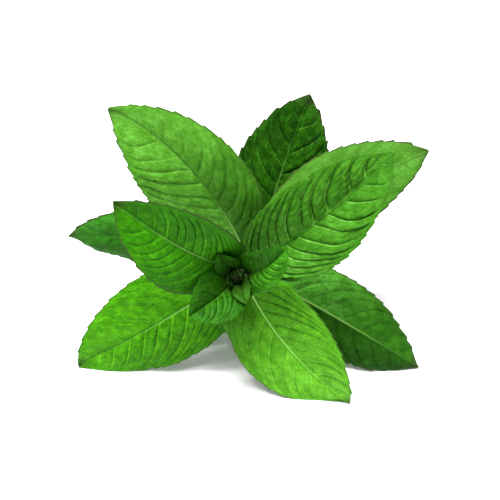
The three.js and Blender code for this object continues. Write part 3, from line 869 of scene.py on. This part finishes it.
# Where each half's painted light and shade runs from its base value to its tip value along the blade; a deeper
# painted shade is also painted a purer green.
SHADE_ENDS = (0.05, 0.95)
PANEL_SHADES = (0.0, 1.0, 0.92, 1.08)
PANELS_APART = 40.0
SHADE_RED_POWER, SHADE_BLUE_POWER = 1.25, 1.9  # a deeper shade is also a purer green
SIDE_BLEND = 0.25
SUNLIT_PATCH = (0.36, 0.66, 0.0, 0.8)
# A painted highlight on the cushions' crests, and painted shade in the hollows and in the creases between the
# cushions.
CREST_HIGHLIGHT = (0.12, 0.45, 0.0, 0.8)
HOLLOW_SHADE = (1.3, 0.0, 0.0, 0.45)
CREASE_SHADE = (0.38, 0.05)
AREOLE_VEIN = (0.10, 0.0, 0.0, 0.25)
CELL_VEIN = (0.22, 0.0, 0.0, 0.45)
CROSSING_PALENESS = 0.3
# The pale line beside each lateral vein is partly the vein's own paleness and partly painted light on the
# flank next to its crease.
VEIN_BESIDE = 0.42  # how far the pale line lies on the base side of its crease
VEIN_LINE = (0.32, 0.05)
VEIN_RIM_FADE = (0.8, 3.5)
# A painted shadow beside the midrib, clockwise of it, where the side of its groove is shaded.
RIB_SHADE_PLACE, RIB_SHADE = 0.55, (0.35, 0.0, 0.0, 0.6)  # a dark line beside the midrib, clockwise of it
RIB_HALF = (0.0, 1.0, 0.42, 0.16)
RIB_EDGE = (1.15, 0.5)
RIB_PALE = (0.25, 0.85)
RIB_TIP_SHARE = 0.1
BLUSH_PATCH = (0.38, 0.60, 0.6, 1.0)
TIP_BLUSH, TIP_BLUSH_STRENGTH = (0.90, 1.0), 0.9
RIM_BLUSH, RIM_BLUSH_BASE = (0.60, 0.15), (0.0, 0.15)
RIM_DEPTH = 0.35
UNDER_RIB = (0.06, 0.0)
UNDER_LINES, UNDER_CROSSING, UNDER_RIM = 1.5, 1.5, 0.6
HEART_SHADE = (0.12, 0.80, 0.0, 0.95)
AREOLE_HEIGHT, GRAIN_HEIGHT, STREAK_HEIGHT = (0.0, 0.28), 0.5, 0.8
SKIN_BUMP, SKIN_DEPTH = 0.6, 0.10 * MM
GRAIN_RANGE, SMOOTHER, ROUGHER, UNDER_ROUGHER = (0.3, 0.7), 0.06, 0.10, 0.2
LEAF_GLOSS = 0.06
THROUGH_SHARE = 0.5


def by_half(skin, side, pair):
    """One value on the clockwise half of a blade and another on the other half."""
    return skin.ramp(side, -SIDE_BLEND, SIDE_BLEND, *pair)


def leaf_marks(skin, leaf):
    """What a leaf's material is made from: its grid's own marks, and noise at several scales."""
    names = ("count", "spacing", "side", "run", "share", "from_rim", "under", "strength", "cells", "heart")
    marks = {name: skin.mark(name) for name in names}
    count, side, seed = marks["count"], marks["side"], float(seed_of(leaf))
    blade = skin.point(marks["run"], side, seed)
    streaked = skin.point(skin.times(count, STREAKS_PER_VEIN), skin.times(side, STREAKS_ACROSS), seed)
    marks["broad"] = skin.noise(blade, *BROAD)
    marks["middling"] = skin.noise(blade, *MIDDLING)
    marks["grain"] = skin.noise(blade, *GRAIN)
    marks["streaks"] = skin.noise(streaked, *STREAKS)
    marks["areoles"] = skin.add("TexVoronoi", feature="DISTANCE_TO_EDGE", inputs={
        "Vector": blade, "Scale": AREOLE_SCALE, "Randomness": AREOLE_RANDOMNESS})
    marks["off_vein"] = skin.maths("PINGPONG", count, 0.5)
    marks["crossing"] = skin.most(skin.ramp(marks["areoles"], *AREOLE_VEIN),
                                  skin.ramp(marks["cells"], *CELL_VEIN))
    marks["inner"] = skin.ramp(marks["from_rim"], *VEIN_RIM_FADE)
    rib_half = skin.ramp(marks["share"], *RIB_HALF)
    marks["rib"] = skin.ramp(skin.maths("DIVIDE", skin.maths("ABSOLUTE", side), rib_half), *RIB_EDGE)
    rim = skin.times(skin.ramp(marks["from_rim"], *RIM_BLUSH), leaf.blush)
    marks["rim"] = skin.times(rim, skin.ramp(marks["share"], *RIM_BLUSH_BASE))
    return marks


def painted_relief_shading(skin, leaf, marks, settings):
    """A blade's tone, warmer in broad patches, with a painted highlight on the cushions' crests and painted
    shade in the hollows and creases.
    """
    warm = tinted(leaf.tone, settings.warmth)
    deep = tinted(leaf.tone, settings.depth)
    strength = marks["strength"]
    colour = skin.blend(skin.ramp(marks["broad"], *SUNLIT_PATCH), rgba(leaf.tone), warm)
    crest = skin.times(skin.ramp(marks["off_vein"], *CREST_HIGHLIGHT), strength)
    colour = skin.blend(crest, colour, warm)
    from_vein = skin.times(marks["off_vein"], marks["spacing"])
    colour = skin.blend(skin.times(skin.ramp(from_vein, *HOLLOW_SHADE), strength), colour, deep)
    crease = skin.times(skin.ramp(from_vein, *CREASE_SHADE), strength, by_half(skin, marks["side"], leaf.crease))
    return skin.blend(skin.times(crease, settings.crease_shade_darkness), colour, deep)


def veined(skin, leaf, marks, settings, colour):
    """A blade's colour with its fine crossing veins and a pale line beside each lateral vein, which is partly
    the vein's own paleness and partly painted light on the lit flank next to its crease.
    """
    vein_tone = tinted(leaf.tone, settings.vein_tint)
    crossing = skin.times(marks["crossing"], CROSSING_PALENESS * settings.vein_paleness)
    colour = skin.blend(crossing, colour, vein_tone)
    to_next = skin.maths("SUBTRACT", 1.0, skin.maths("FRACT", marks["count"]))
    beside = skin.apart(skin.times(to_next, marks["spacing"]), VEIN_BESIDE)
    lateral = skin.times(skin.ramp(beside, *VEIN_LINE), marks["inner"],
                         by_half(skin, marks["side"], leaf.vein_light), settings.vein_paleness)
    return skin.blend(lateral, colour, vein_tone)


def shaded(skin, leaf, marks, colour):
    """A blade's colour made lighter or darker from place to place: each half and each end by its own amount of
    painted light and shade, and, as the leaf's own uneven tone, each panel between two veins by a little and
    blotches of several sizes."""
    side = marks["side"]
    halves = [skin.ramp(marks["share"], *SHADE_ENDS, *ends) for ends in leaf.painted_shades]
    panel = skin.maths("ADD", skin.maths("FLOOR", marks["count"]), by_half(skin, side, (0.0, PANELS_APART)))
    panel = skin.add("TexWhiteNoise", {"W": panel}, noise_dimensions="1D")
    factors = [by_half(skin, side, halves), skin.ramp(panel, *PANEL_SHADES)]
    for name, spread in MOTTLE:
        reach = spread * leaf.mottle
        factors.append(skin.ramp(marks[name], *MOTTLE_RANGE, 1 - reach, 1 + reach))
    shade = skin.times(*factors)
    shading = skin.point(skin.maths("POWER", shade, SHADE_RED_POWER), shade,
                         skin.maths("POWER", shade, SHADE_BLUE_POWER))
    return skin.blend(1.0, colour, shading, "MULTIPLY")


def ribbed(skin, leaf, marks, settings, colour):
    """A blade's colour with a painted shadow beside its midrib, the midrib, pale towards the base, and a brown
    rim and tip.
    """
    deep = tinted(leaf.tone, settings.depth)
    beside = skin.maths("ABSOLUTE", skin.maths("ADD", marks["side"], RIB_SHADE_PLACE))
    colour = skin.blend(skin.ramp(beside, *RIB_SHADE), colour, deep)
    light = skin.ramp(marks["share"], *RIB_PALE, leaf.rib_light, RIB_TIP_SHARE * leaf.rib_light)
    colour = skin.blend(skin.times(marks["rib"], light), colour, rgba(settings.midrib_colour))
    tip = skin.times(skin.ramp(marks["share"], *TIP_BLUSH), TIP_BLUSH_STRENGTH * leaf.blush)
    edging = skin.times(skin.most(tip, marks["rim"]), skin.ramp(marks["broad"], *BLUSH_PATCH))
    return skin.blend(edging, colour, skin.blend(RIM_DEPTH, rgba(settings.rim_colour), deep))


def under_face(skin, leaf, marks, settings):
    """The under face's colour: paler and greyer, with raised pale veins."""
    colour = skin.blend(leaf.bloom, rgba(leaf.tone), rgba(settings.under_colour))
    ribs = skin.times(skin.ramp(marks["off_vein"], *UNDER_RIB), marks["inner"])
    lines = skin.most(ribs, marks["rib"], skin.times(marks["crossing"], UNDER_CROSSING))
    colour = skin.blend(skin.times(lines, UNDER_LINES * leaf.bloom), colour,
                        rgba(settings.under_colour, UNDER_LINES))
    return skin.blend(skin.times(marks["rim"], UNDER_RIM), colour, rgba(settings.rim_colour))


def leaf_material(leaf, settings):
    """A leaf's skin: its two faces, with painted shade in the heart of the sprig. Some light passes through.
    """
    skin = Skin(leaf.node)
    marks = leaf_marks(skin, leaf)
    colour = painted_relief_shading(skin, leaf, marks, settings)
    colour = veined(skin, leaf, marks, settings, colour)
    colour = shaded(skin, leaf, marks, colour)
    colour = ribbed(skin, leaf, marks, settings, colour)
    colour = skin.blend(marks["under"], colour, under_face(skin, leaf, marks, settings))
    colour = skin.blend(skin.ramp(marks["heart"], *HEART_SHADE), colour, rgba(settings.heart_shade_colour))

    height = skin.maths("ADD", skin.ramp(marks["areoles"], *AREOLE_HEIGHT),
                        skin.times(marks["grain"], GRAIN_HEIGHT))
    height = skin.maths("ADD", height, skin.times(marks["streaks"], STREAK_HEIGHT))
    normal = skin.bump(height, SKIN_BUMP, SKIN_DEPTH)
    rough = (settings.roughness - SMOOTHER, settings.roughness + ROUGHER)
    rough = skin.ramp(marks["grain"], *GRAIN_RANGE, *rough)
    rough = skin.maths("ADD", rough, skin.times(marks["under"], UNDER_ROUGHER))
    surface = skin.add("BsdfPrincipled", {"Base Color": colour, "Roughness": rough,
                                          "Specular IOR Level": LEAF_GLOSS, "Normal": normal})
    shining = skin.blend(THROUGH_SHARE, colour, rgba(settings.through_colour))
    through = skin.add("BsdfTranslucent", {"Color": shining, "Normal": normal})
    return skin.finish(skin.add("MixShader", {0: settings.translucency, 1: surface, 2: through}))


def stem_path(rows):
    """The stem's line from its tip: knots set back one after the other along a heading that, past the
    leaves, bends evenly down to the cut end's tilt, and straight lines between the knots."""
    knots = np.arange(STEM_KNOTS + 1) * STEM_LENGTH / STEM_KNOTS
    bend = np.clip((knots - LEAFY_LENGTH) / BARE_LENGTH, 0, 1) * (STEM_TILT - CUT_END_TILT)
    axes = turned(np.tile(STEM_AXIS, (len(knots), 1)), np.tile(ACROSS_X, (len(knots), 1)), bend)
    steps = -axes[:-1] * STEM_LENGTH / STEM_KNOTS
    lines = STEM_TIP + np.vstack([np.zeros(3), np.cumsum(steps, axis=0)])
    along = np.linspace(0, STEM_LENGTH, rows)
    share = along / STEM_LENGTH
    late = np.vstack([axes[:1], axes[:-1]])
    return along, along_spine(lines, share), unit(along_spine(late, share))


def stem_rings(settings):
    """The stem's rings, from the cut end to the tip, and their marks: a rounded square with a shallow groove
    down each face, a narrow raised collar at each node, and a cut end whose pith has sunk a little."""
    along, centre, axis = stem_path(STEM_ROWS)
    upward = np.cross(axis, ACROSS_X)
    angle = circle(STEM_SIDES)
    face = angle - math.radians(STEM_FACE_TURN)
    half = stem_half(along)[:, None]
    nodes = np.array(sorted({leaf.below for leaf in LEAVES[FIRST_YOUNG_LEAF:]}))
    gap = (along[:, None] - nodes)[np.arange(STEM_ROWS), np.abs(along[:, None] - nodes).argmin(1)]
    groove = 1 - settings.groove * np.cos(2 * face) ** GROOVE_POWER
    collar = COLLAR_HEIGHT * bell(gap, COLLAR_PLACE, COLLAR_WIDTH)[:, None]
    ridges = RIDGE_HEIGHT * np.sin(RIDGES * angle + RIDGE_WAVER * np.sin(RIDGE_WAVERS * angle))
    wander = STEM_UNEVEN * waves(along[:, None], angle * MM, STEM_UNEVEN_LENGTH, STEM_SEED)
    radius = half * square_radius(face) * (groove + collar + ridges + wander)
    around = np.cos(angle)[None, :, None] * ACROSS_X + np.sin(angle)[None, :, None] * upward[:, None]
    rings = centre[:, None] + radius[..., None] * around
    edge = rings[-1] - centre[-1]
    cut = np.array([centre[-1] + edge * size + axis[-1] * depth * MM for size, depth in CUT_FACE])
    rings = above_table(np.concatenate([rings, cut]))
    after = np.zeros(len(cut))
    marks = {
        "long": np.concatenate([along, after + STEM_LENGTH])[:, None] / MM,
        "corner": 1 - np.cos(2 * face) ** 2,
        "near": np.concatenate([bell(gap, 0, NODE_FLUSH_REACH), after])[:, None],
        "inward": np.concatenate([0 * along, 1 - np.array(CUT_FACE)[:, 0]])[:, None],
        "angle": angle,
    }
    full = {name: np.broadcast_to(values, rings.shape[:2])[::-1] for name, values in marks.items()}
    return rings[::-1], full


# Marks on the stem, as on a blade; "inward" is 0 on the skin and grows to 1 in the middle of the cut.
STEM_STREAKS, STEM_BLOTCHES, STREAK_STRETCH = (7.0, 5.0), (1.6, 2.0), 0.12
STREAK_RANGE, STREAK_DARKNESS = (0.3, 0.7), 0.62
CORNER_FLUSH, BLOTCH_RANGE, CORNER_STRENGTH, NODE_STRENGTH = (0.35, 0.95), (0.4, 0.65), 0.75, 0.35
# The stem's painted shade deep among the leaves: where it starts and where it is full, in millimetres from the
# growing tip, and its strength at each.
STEM_HEART_SHADE = (34.0, 20.0, 0.0, 0.92)
PITH_RANGE, PITH_WALL_DARKNESS, CUT_EDGE = (0.12, 0.4), 0.7, (0.02, 0.06)
STEM_ROUGHNESS, STEM_BUMP, STEM_BUMP_DEPTH, STEM_GLOSS = (0.36, 0.52), 0.5, 0.08 * MM, 0.45
STEM_SCATTER, STEM_SCATTER_RADIUS, STEM_SCATTER_SCALE = 0.15, (0.4, 0.8, 0.2), 0.6 * MM


def stem_material(settings):
    """The stem's skin: green with purple corners and nodes and long fine streaks, painted shade near the
    growing tip, and a pale wet cut.
    """
    skin = Skin("stem")
    long, corner, near, inward, angle = (skin.mark(name) for name in
                                         ("long", "corner", "near", "inward", "angle"))
    place = skin.point(skin.times(long, STREAK_STRETCH), skin.maths("SINE", angle),
                       skin.maths("COSINE", angle))
    streaks = skin.noise(place, *STEM_STREAKS)
    blotches = skin.noise(place, *STEM_BLOTCHES)
    colour = skin.blend(skin.ramp(streaks, *STREAK_RANGE), rgba(settings.colour),
                        rgba(settings.colour, STREAK_DARKNESS))
    flush = skin.times(skin.ramp(corner, *CORNER_FLUSH), skin.ramp(blotches, *BLOTCH_RANGE), CORNER_STRENGTH)
    flush = skin.most(flush, skin.times(near, NODE_STRENGTH))
    colour = skin.blend(flush, colour, rgba(settings.flush_colour))
    colour = skin.blend(skin.ramp(long, *STEM_HEART_SHADE), colour, rgba(settings.heart_shade_colour))
    pith = skin.blend(skin.ramp(inward, *PITH_RANGE), rgba(settings.pith_colour, PITH_WALL_DARKNESS),
                      rgba(settings.pith_colour))
    colour = skin.blend(skin.ramp(inward, *CUT_EDGE), colour, pith)
    return skin.finish(skin.add("BsdfPrincipled", {
        "Base Color": colour, "Roughness": skin.ramp(streaks, *STREAK_RANGE, *STEM_ROUGHNESS),
        "Specular IOR Level": STEM_GLOSS, "Normal": skin.bump(streaks, STEM_BUMP, STEM_BUMP_DEPTH),
        "Subsurface Weight": STEM_SCATTER, "Subsurface Radius": STEM_SCATTER_RADIUS,
        "Subsurface Scale": STEM_SCATTER_SCALE}))


def growing_tip_rings():
    """The growing tip's rings and marks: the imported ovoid, swollen, pinched where its furled leaves meet and
    ribbed."""
    rings = bud_rings(TIP_RINGS, TIP_SIDES) + PLACE
    centre = rings.mean(1, keepdims=True)
    share = np.linspace(0, 1, TIP_RINGS)[:, None]
    twist = circle(TIP_SIDES) + TIP_TWIST * share
    form = 1 - TIP_PINCH * np.cos(2 * twist) ** TIP_PINCH_POWER - TIP_RIB * np.cos(TIP_RIBS * twist) * share
    shaped = centre + (rings - centre) * TIP_SWELL * form[..., None]
    return shaped, {"share": share + 0 * form, "form": form}


# Marks on the growing tip, as on a blade. The down's scale is per metre.
DOWN, DOWN_RANGE, DOWN_LIGHT = (4500.0, 3.0), (0.5, 0.7, 0.0, 0.4), 2.2
# The second and third values are the painted shade in the pinched folds where the furled leaves meet, as the
# form's value, and how dark that painted shade is.
TIP_END, TIP_FOLD_SHADE, TIP_FOLD_DARKNESS = (0.3, 1.0), (1.0, 0.85, 0.0, 0.7), 0.3
TIP_ROUGHNESS, TIP_GLOSS, TIP_BUMP, TIP_BUMP_DEPTH = 0.8, 0.05, 0.6, 0.05 * MM


def growing_tip_material(settings):
    """The growing tip's skin: dark green browning to its end, with painted shade in the folds where its furled
    leaves meet, under fine down.
    """
    skin = Skin("growing_tip")
    down = skin.noise(skin.add("TexCoord", {}, output="Object"), *DOWN)
    colour = skin.blend(skin.ramp(skin.mark("share"), *TIP_END), rgba(settings.bud_colour),
                        rgba(settings.bud_end_colour))
    colour = skin.blend(skin.ramp(skin.mark("form"), *TIP_FOLD_SHADE), colour,
                        rgba(settings.bud_colour, TIP_FOLD_DARKNESS))
    colour = skin.blend(skin.ramp(down, *DOWN_RANGE), colour, rgba(settings.bud_colour, DOWN_LIGHT))
    return skin.finish(skin.add("BsdfPrincipled", {
        "Base Color": colour, "Roughness": TIP_ROUGHNESS, "Specular IOR Level": TIP_GLOSS,
        "Normal": skin.bump(down, TIP_BUMP, TIP_BUMP_DEPTH)}))


def vector_property(name, description, default, **limits):
    """Three numbers that a user can change."""
    return bpy.props.FloatVectorProperty(name=name, description=description, size=3, min=0.0,
                                         default=default, **limits)


def colour_property(name, description, default):
    """A colour that a user can change."""
    return vector_property(name, description, default, subtype="COLOR", max=1.0)


def tint_property(name, description, default):
    """How much lighter or darker each channel of a colour is made."""
    return vector_property(name, description, default, max=8.0)


def number_property(name, description, default, **limits):
    """A number from 0 up that a user can change."""
    return bpy.props.FloatProperty(name=name, description=description, min=0.0, default=default, **limits)


def length_property(name, description, default):
    """A length that a user can change, in metres."""
    return number_property(name, description, default, unit="LENGTH", precision=5)


def share_property(name, description, default, most=1.0):
    """A share that a user can change."""
    return number_property(name, description, default, subtype="FACTOR", max=most)


class MintLeafSettings(bpy.types.PropertyGroup):
    """Sizes and colours that all leaves share."""

    blade_thickness: length_property("Blade thickness", "Thickness of a leaf between its veins", 0.3 * MM)
    tooth_spacing: length_property("Tooth spacing", "Distance between teeth along the margin", 3.6 * MM)
    tooth_height: length_property("Tooth height", "How far a tooth stands out of the margin", 0.5 * MM)
    midrib_groove: length_property("Midrib groove", "Depth of the groove along the midrib", 0.15 * MM)
    ripple: length_property("Ripple", "How far the margin waves up and down", 0.35 * MM)
    quilting: number_property("Quilting", "How strongly leaves cushion up between veins", 1.0, max=3.0)
    # How dark the painted shade in the creases is.
    crease_shade_darkness: share_property("Crease darkness", "How dark the creases are", 0.9)
    vein_paleness: share_property("Vein paleness", "How pale the fine veins are", 0.95)
    roughness: share_property("Roughness", "Roughness of a leaf's upper face", 0.46)
    translucency: share_property("Translucency", "Share of light that passes a leaf", 0.2)
    # Warmth tints the broad warmer patches and the painted highlight on the cushions' crests.
    warmth: tint_property("Warmth", "What turns a leaf's tone into its sunlit shade", (1.20, 1.07, 1.6))
    # Depth tints the painted shade in the creases, the hollows and beside the midrib, and the dark mixed into
    # the rim.
    depth: tint_property("Depth", "What turns a leaf's tone into its creases' shade", (0.34, 0.44, 0.40))
    vein_tint: tint_property("Vein tint", "What turns a leaf's tone into its veins' shade", (3.0, 1.9, 6.0))
    midrib_colour: colour_property("Midrib colour", "Colour of the midrib from above", (0.28, 0.56, 0.13))
    rim_colour: colour_property("Rim colour", "Colour of the margin and the tip", (0.05, 0.04, 0.02))
    under_colour: colour_property("Under colour", "Colour of the under face", (0.13, 0.26, 0.08))
    through_colour: colour_property("Through colour", "Tint of light that passes a leaf", (0.16, 0.42, 0.01))
    # The heart colour is painted shade deep among the leaves round the growing tip, partly also the young
    # leaves' own darker colour; the bud colour's dark is partly that same shade.
    heart_shade_colour: colour_property("Heart colour", "Colour close to the growing tip", (0.013, 0.048, 0.003))
    bud_colour: colour_property("Bud colour", "Colour of the growing tip", (0.005, 0.020, 0.001))
    bud_end_colour: colour_property("Bud end colour", "Colour of its end", (0.009, 0.012, 0.003))


class MintStemSettings(bpy.types.PropertyGroup):
    """The stem's form and colours."""

    groove: share_property("Groove", "Depth of the groove down each face", 0.10, most=0.5)
    colour: colour_property("Colour", "Colour of the stem's skin", (0.16, 0.30, 0.06))
    flush_colour: colour_property("Flush colour", "Colour of its corners and nodes", (0.13, 0.06, 0.05))
    # The heart colour is painted shade deep among the leaves round the growing tip.
    heart_shade_colour: colour_property("Heart colour", "Colour close to the growing tip", (0.013, 0.048, 0.003))
    pith_colour: colour_property("Pith colour", "Colour of the pith at the cut end", (0.50, 0.62, 0.32))


class MintStageSettings(bpy.types.PropertyGroup):
    """The floor, the lights and the camera."""

    elevation: number_property("Elevation", "Angle of the camera over the table", math.radians(40),
                               subtype="ANGLE")
    distance: length_property("Distance", "Distance from the camera to the middle of the view", 0.48)
    view_width: length_property("View width", "Width of the view at that distance", 0.14)
    aim_back: length_property("Aim back", "How far behind the growing tip the camera aims", 12.3 * MM)
    aim_right: length_property("Aim right", "How far to the right of it the camera aims", 3.6 * MM)
    aim_below: length_property("Aim below", "How far below it the camera aims", 0.9 * MM)
    floor_colour: colour_property("Floor colour", "Colour of the table", (0.93, 0.93, 0.93))
    key_power: number_property("Key power", "Power of the large light above", 26.0, subtype="POWER")
    sky_strength: number_property("Sky strength", "Strength of the even light", 0.55)


FLOOR_HALF, FLOOR_ROUGHNESS, FLOOR_GLOSS = 3.0, 0.5, 0.2
KEY_PLACE, KEY_AIM, KEY_SIZE = (-0.17, -0.14, 0.97), (0, 0, 0.03), 0.50
NEAREST_SEEN = 0.01


def add_floor(settings):
    """A plain pale floor."""
    corners = [(x * FLOOR_HALF, y * FLOOR_HALF, 0) for x, y in ((-1, -1), (1, -1), (1, 1), (-1, 1))]
    mesh = bpy.data.meshes.new("floor")
    mesh.from_pydata(corners, [], [(0, 1, 2, 3)])
    floor = bpy.data.objects.new("floor", mesh)
    bpy.context.scene.collection.objects.link(floor)
    skin = Skin("floor")
    mesh.materials.append(skin.finish(skin.add("BsdfPrincipled", {
        "Base Color": rgba(settings.floor_colour), "Roughness": FLOOR_ROUGHNESS,
        "Specular IOR Level": FLOOR_GLOSS})))


def add_aimed(name, data, place, direction):
    """An object with this data at a place, turned to look along a direction."""
    thing = bpy.data.objects.new(name, data)
    bpy.context.scene.collection.objects.link(thing)
    thing.location = place
    thing.rotation_euler = direction.to_track_quat("-Z", "Y").to_euler()
    return thing


def add_key_light(settings):
    """A square area lamp high over the sprig."""
    data = bpy.data.lights.new("key", "AREA")
    data.shape = "SQUARE"
    data.size = KEY_SIZE
    data.energy = settings.key_power
    add_aimed("key", data, KEY_PLACE, Vector(KEY_AIM) - Vector(KEY_PLACE))


def add_sky(settings):
    """Even white light from all round, and plain colours with no film look."""
    world = bpy.data.worlds.new("sky")
    world.use_nodes = True
    background = world.node_tree.nodes["Background"]
    background.inputs["Color"].default_value = (1, 1, 1, 1)
    background.inputs["Strength"].default_value = settings.sky_strength
    bpy.context.scene.world = world
    bpy.context.scene.view_settings.view_transform = "Standard"


def add_camera(settings):
    """The camera, over the front of the table, looking down at a point behind the growing tip."""
    aim = Vector(STEM_TIP) + Vector((settings.aim_right, settings.aim_back, -settings.aim_below))
    away = Vector((0, -math.cos(settings.elevation), math.sin(settings.elevation)))
    data = bpy.data.cameras.new("camera")
    data.lens = data.sensor_width * settings.distance / settings.view_width
    data.clip_start = NEAREST_SEEN
    bpy.context.scene.camera = add_aimed("camera", data, aim + away * settings.distance, -away)


def add_leaves(settings, first, last):
    """Adds the leaves from one row to before another, each with its own skin."""
    for leaf in LEAVES[first:last]:
        rings, marks = leaf_rings(leaf, settings)
        check_place(leaf.node, rings[ROOT_ROWS:])
        add_piece(leaf.node, rings, marks, leaf_material(leaf, settings))


class MINT_OT_stage(bpy.types.Operator):
    """Adds the floor, the lights and the camera"""

    bl_idname = "mint.stage"
    bl_label = "Stage"

    def execute(self, context):
        settings = context.scene.mint_stage
        add_floor(settings)
        add_key_light(settings)
        add_sky(settings)
        add_camera(settings)
        return {"FINISHED"}


class MINT_OT_stem(bpy.types.Operator):
    """Adds the stem, with its nodes, grooves and cut end"""

    bl_idname = "mint.stem"
    bl_label = "Stem"

    def execute(self, context):
        settings = context.scene.mint_stem
        rings, marks = stem_rings(settings)
        check_place("stem", rings)
        add_piece("stem", rings, marks, stem_material(settings))
        return {"FINISHED"}


class MINT_OT_growing_tip(bpy.types.Operator):
    """Adds the furled bud at the end of the stem"""

    bl_idname = "mint.growing_tip"
    bl_label = "Growing tip"

    def execute(self, context):
        rings, marks = growing_tip_rings()
        check_place("growing_tip", rings)
        add_piece("growing_tip", rings, marks, growing_tip_material(context.scene.mint_leaf))
        return {"FINISHED"}


class MINT_OT_bud_leaves(bpy.types.Operator):
    """Adds the four small leaves that stand round the growing tip"""

    bl_idname = "mint.bud_leaves"
    bl_label = "Bud leaves"

    def execute(self, context):
        add_leaves(context.scene.mint_leaf, 0, FIRST_YOUNG_LEAF)
        return {"FINISHED"}


class MINT_OT_young_leaves(bpy.types.Operator):
    """Adds the pair of young leaves, still folded along their midribs"""

    bl_idname = "mint.young_leaves"
    bl_label = "Young leaves"

    def execute(self, context):
        add_leaves(context.scene.mint_leaf, FIRST_YOUNG_LEAF, FIRST_GROWN_LEAF)
        return {"FINISHED"}


class MINT_OT_grown_leaves(bpy.types.Operator):
    """Adds the six pairs of grown leaves, from the top pair down"""

    bl_idname = "mint.grown_leaves"
    bl_label = "Grown leaves"

    def execute(self, context):
        add_leaves(context.scene.mint_leaf, FIRST_GROWN_LEAF, len(LEAVES))
        return {"FINISHED"}


class MINT_PT_sprig(bpy.types.Panel):
    """The sprig's settings and the operators that build it"""

    bl_label = "Mint Sprig"
    bl_idname = "MINT_PT_sprig"
    bl_space_type = "VIEW_3D"
    bl_region_type = "UI"
    bl_category = "Mint"

    def draw(self, context):
        for group in (context.scene.mint_stage, context.scene.mint_stem, context.scene.mint_leaf):
            box = self.layout.box()
            for name in group.__annotations__:
                box.prop(group, name)
        for operator in OPERATORS:
            self.layout.operator(operator.bl_idname)


OPERATORS = (MINT_OT_stage, MINT_OT_stem, MINT_OT_growing_tip, MINT_OT_bud_leaves, MINT_OT_young_leaves,
             MINT_OT_grown_leaves)
SETTINGS = {"mint_leaf": MintLeafSettings, "mint_stem": MintStemSettings, "mint_stage": MintStageSettings}


def register():
    """Adds the classes, and the settings to the scene."""
    for kind in (*SETTINGS.values(), *OPERATORS, MINT_PT_sprig):
        bpy.utils.register_class(kind)
    for name, kind in SETTINGS.items():
        setattr(bpy.types.Scene, name, bpy.props.PointerProperty(type=kind))


def unregister():
    """Takes away what register added."""
    for name in SETTINGS:
        delattr(bpy.types.Scene, name)
    for kind in (*SETTINGS.values(), *OPERATORS, MINT_PT_sprig):
        bpy.utils.unregister_class(kind)


def main():
    """Builds the sprig and its stage."""
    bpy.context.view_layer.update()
    register()
    bpy.ops.mint.stage()
    bpy.ops.mint.stem()
    bpy.ops.mint.growing_tip()
    bpy.ops.mint.bud_leaves()
    bpy.ops.mint.young_leaves()
    bpy.ops.mint.grown_leaves()


if __name__ == "__main__":
    main()
